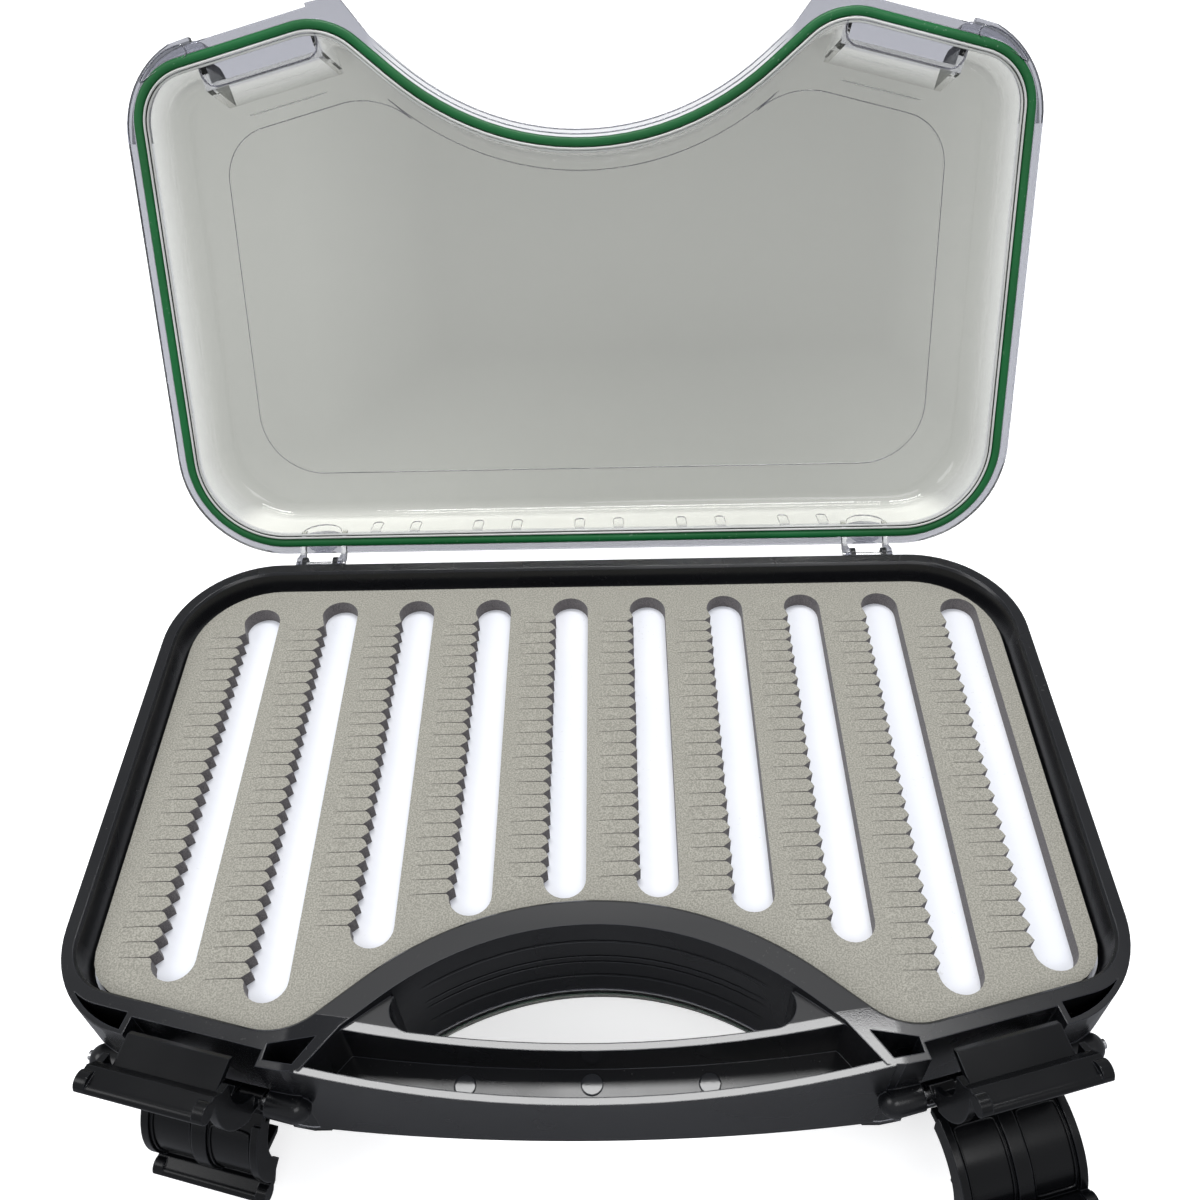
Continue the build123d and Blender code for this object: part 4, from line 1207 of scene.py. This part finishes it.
# %% [markdown]
# ## Mould marks of the frame
#
# Plastic leaves the mould where its halves meet and where pins push it out. The meeting
# lines run round the inside of the hand's opening, and the pins leave flat discs in the
# floor of the grip.

# %% Parting lines and ejector discs
mould_mark = toned(
    "mould_mark", (0.016, 0.017, 0.020, 1.0), (0.026, 0.028, 0.032, 1.0), grain=1200.0,
    strength=0.05, distance=0.1 * MM, dust=0.05, IOR=1.42, Roughness=0.12,
)

DISCS_X = (-76.0, -38.7, -0.5, 34.9, 72.0)
DISC_Y, DISC_RADIUS = -100.4, 3.4
WEB_TOP = 1.2              # floor of the grip, from the mid-plane
DISC_INWARDS = np.array([DISC_RADIUS - 0.02, 0.7, 0.4, 0.2, 0.05, 0.0])
DISC_RISE = np.array([0.30, 0.30, 0.30, 0.27, 0.18, 0.01])
DISC_SIDES = 28
LINE_IN, LINE_RADIUS = -4.78, 0.17     # parting lines in the notch's wall
LINE_HEIGHTS = (2.0, -2.0, 12.0, -12.0)
LINE_ENDS = 12             # points left out at each end of a line


def ejector_disc(x, y, face):
    """Low disc with a rounded edge: rings whose height falls as their radius nears its end."""
    t = np.linspace(0.0, 2 * np.pi, DISC_SIDES, endpoint=False)
    radii = (DISC_RADIUS - DISC_INWARDS)[:, None]
    heights = MIDDLE_HEIGHT / MM + face * (WEB_TOP + DISC_RISE)[:, None]
    xs, ys = x + radii * np.cos(t), y + radii * np.sin(t)
    points = np.stack([xs, ys, np.broadcast_to(heights, xs.shape)], axis=2)
    faces = grid_faces(len(radii), DISC_SIDES, False, True)[:, ::-face]
    return points.reshape(-1, 3), faces.tolist()


def parting_line(height):
    """Thin bead round the notch's wall, at a height from the mid-plane."""
    line = notch_run(LINE_IN)[LINE_ENDS:-LINE_ENDS]
    return bead(at_height(line, MIDDLE_HEIGHT / MM + height), LINE_RADIUS)


marks = [ejector_disc(x, DISC_Y, face) for x in DISCS_X for face in (1, -1)]
marks += [parting_line(height) for height in LINE_HEIGHTS]
points, faces = joined(marks)
new_piece("mould_marks", points, faces, mould_mark, "frame", smooth=True)
print("mould marks", len(faces), "faces")

# %% [markdown]
# ## Borders of the levers' panels
#
# A lever's plate is bowed: in section it is an arc through three points, from its root
# at the pin to its tip under the lip. Each of its two sunk panels has a raised border,
# so the border's corners are given by a place along the pin and a share of that arc.

# %% Panel borders
BOW_SPOTS = np.array([(1.2, 4.6), (9.2, 20.0), (5.0, 34.5)])   # outwards and upwards
PLATE_FACE = 1.2 + 0.32    # outwards from the middle of the plate
PANEL_ENDS = ((-16.2, -3.2), (3.2, 16.2))      # along the pin
PANEL_LOW, PANEL_HIGH = 0.20, 0.93     # shares of the arc
CORNER_SHARE = 0.1         # the corner's rounding, as a share of half a side
BORDER_RADIUS = 0.36
REST_OPEN, REST_WIDE = 10.0, 55.0      # degrees from shut; one lever stands wide


def bow_at(share, offset):
    """Points of the bowed section: outwards and upwards from the pin.

    The centre c of the circle through a, b and d solves 2 (b - a) c = b.b - a.a and
    2 (d - a) c = d.d - a.a.
    """
    a, b, d = BOW_SPOTS
    centre = np.linalg.solve(2 * np.array([b - a, d - a]), [b @ b - a @ a, d @ d - a @ a])
    first, last = (np.arctan2(*(spot - centre)[::-1]) for spot in (a, d))
    angle = first + np.asarray(share) * (last - first)
    reach = np.linalg.norm(a - centre) + offset
    return centre[0] + reach * np.cos(angle), centre[1] + reach * np.sin(angle)


def panel_border(start, end):
    """Rounded loop on the plate's outer face, between two places along the pin."""
    corners = np.array([(start, PANEL_LOW), (end, PANEL_LOW), (end, PANEL_HIGH), (start, PANEL_HIGH)])
    ahead = np.roll(corners, -1, axis=0)
    middles = (corners + ahead) / 2
    near = (1.0 - CORNER_SHARE) * corners + CORNER_SHARE * middles
    far = (1.0 - CORNER_SHARE) * ahead + CORNER_SHARE * middles
    loop = softened(np.stack([near, middles, far], axis=1).reshape(-1, 2))
    out, up = bow_at(loop[:, 1], PLATE_FACE)
    return np.column_stack([loop[:, 0], out, up])


def lever_borders(name, side, face, degrees_open):
    """Both borders of one lever, turned about its pin to where the lever stands."""
    borders = [bead(panel_border(*ends), BORDER_RADIUS, closed=True) for ends in PANEL_ENDS]
    points, faces = joined(borders)
    turn = radians(degrees_open)
    out = points[:, 1] * cos(turn) + points[:, 2] * sin(turn)
    up = points[:, 2] * cos(turn) - points[:, 1] * sin(turn)
    outwards = np.array([side * sin(STATION_SLOPE), -cos(STATION_SLOPE), 0.0])
    upwards = np.array([0.0, 0.0, face])
    along = np.cross(outwards, upwards)
    pin = np.array([side * STATION[0], STATION[1], MIDDLE_HEIGHT / MM])
    placed = pin + np.outer(points[:, 0], along) + np.outer(out, outwards) + np.outer(up, upwards)
    border = new_piece(f"{name}_borders", placed, faces, lever_black, name, smooth=True)


for side, side_name in ((-1, "left"), (1, "right")):
    for face, face_name in ((1, "top"), (-1, "bottom")):
        name = f"{side_name}_{face_name}_lever"
        lever_borders(name, side, face, REST_WIDE if name == "right_bottom_lever" else REST_OPEN)
print("lever borders placed")

# %% [markdown]
# ## Finishes of the moving model's own pieces
#
# The rigid pieces already have their shape, so each only takes its material.

# %% Dress the rigid pieces
def dress(node, material):
    """Give a piece of the moving model its finish."""
    mesh = nodes[node].data
    mesh.materials.clear()
    mesh.materials.append(material)


for node in nodes:
    if node.endswith("_lever"):
        dress(node, lever_black)
    elif node.endswith("_pin"):
        dress(node, steel)
    elif node.startswith("backing"):
        dress(node, white_board)
dress("frame", frame_black)
dress("top_lid", clear_top)
dress("bottom_lid", clear_bottom)
print("dressed", len(nodes), "pieces")
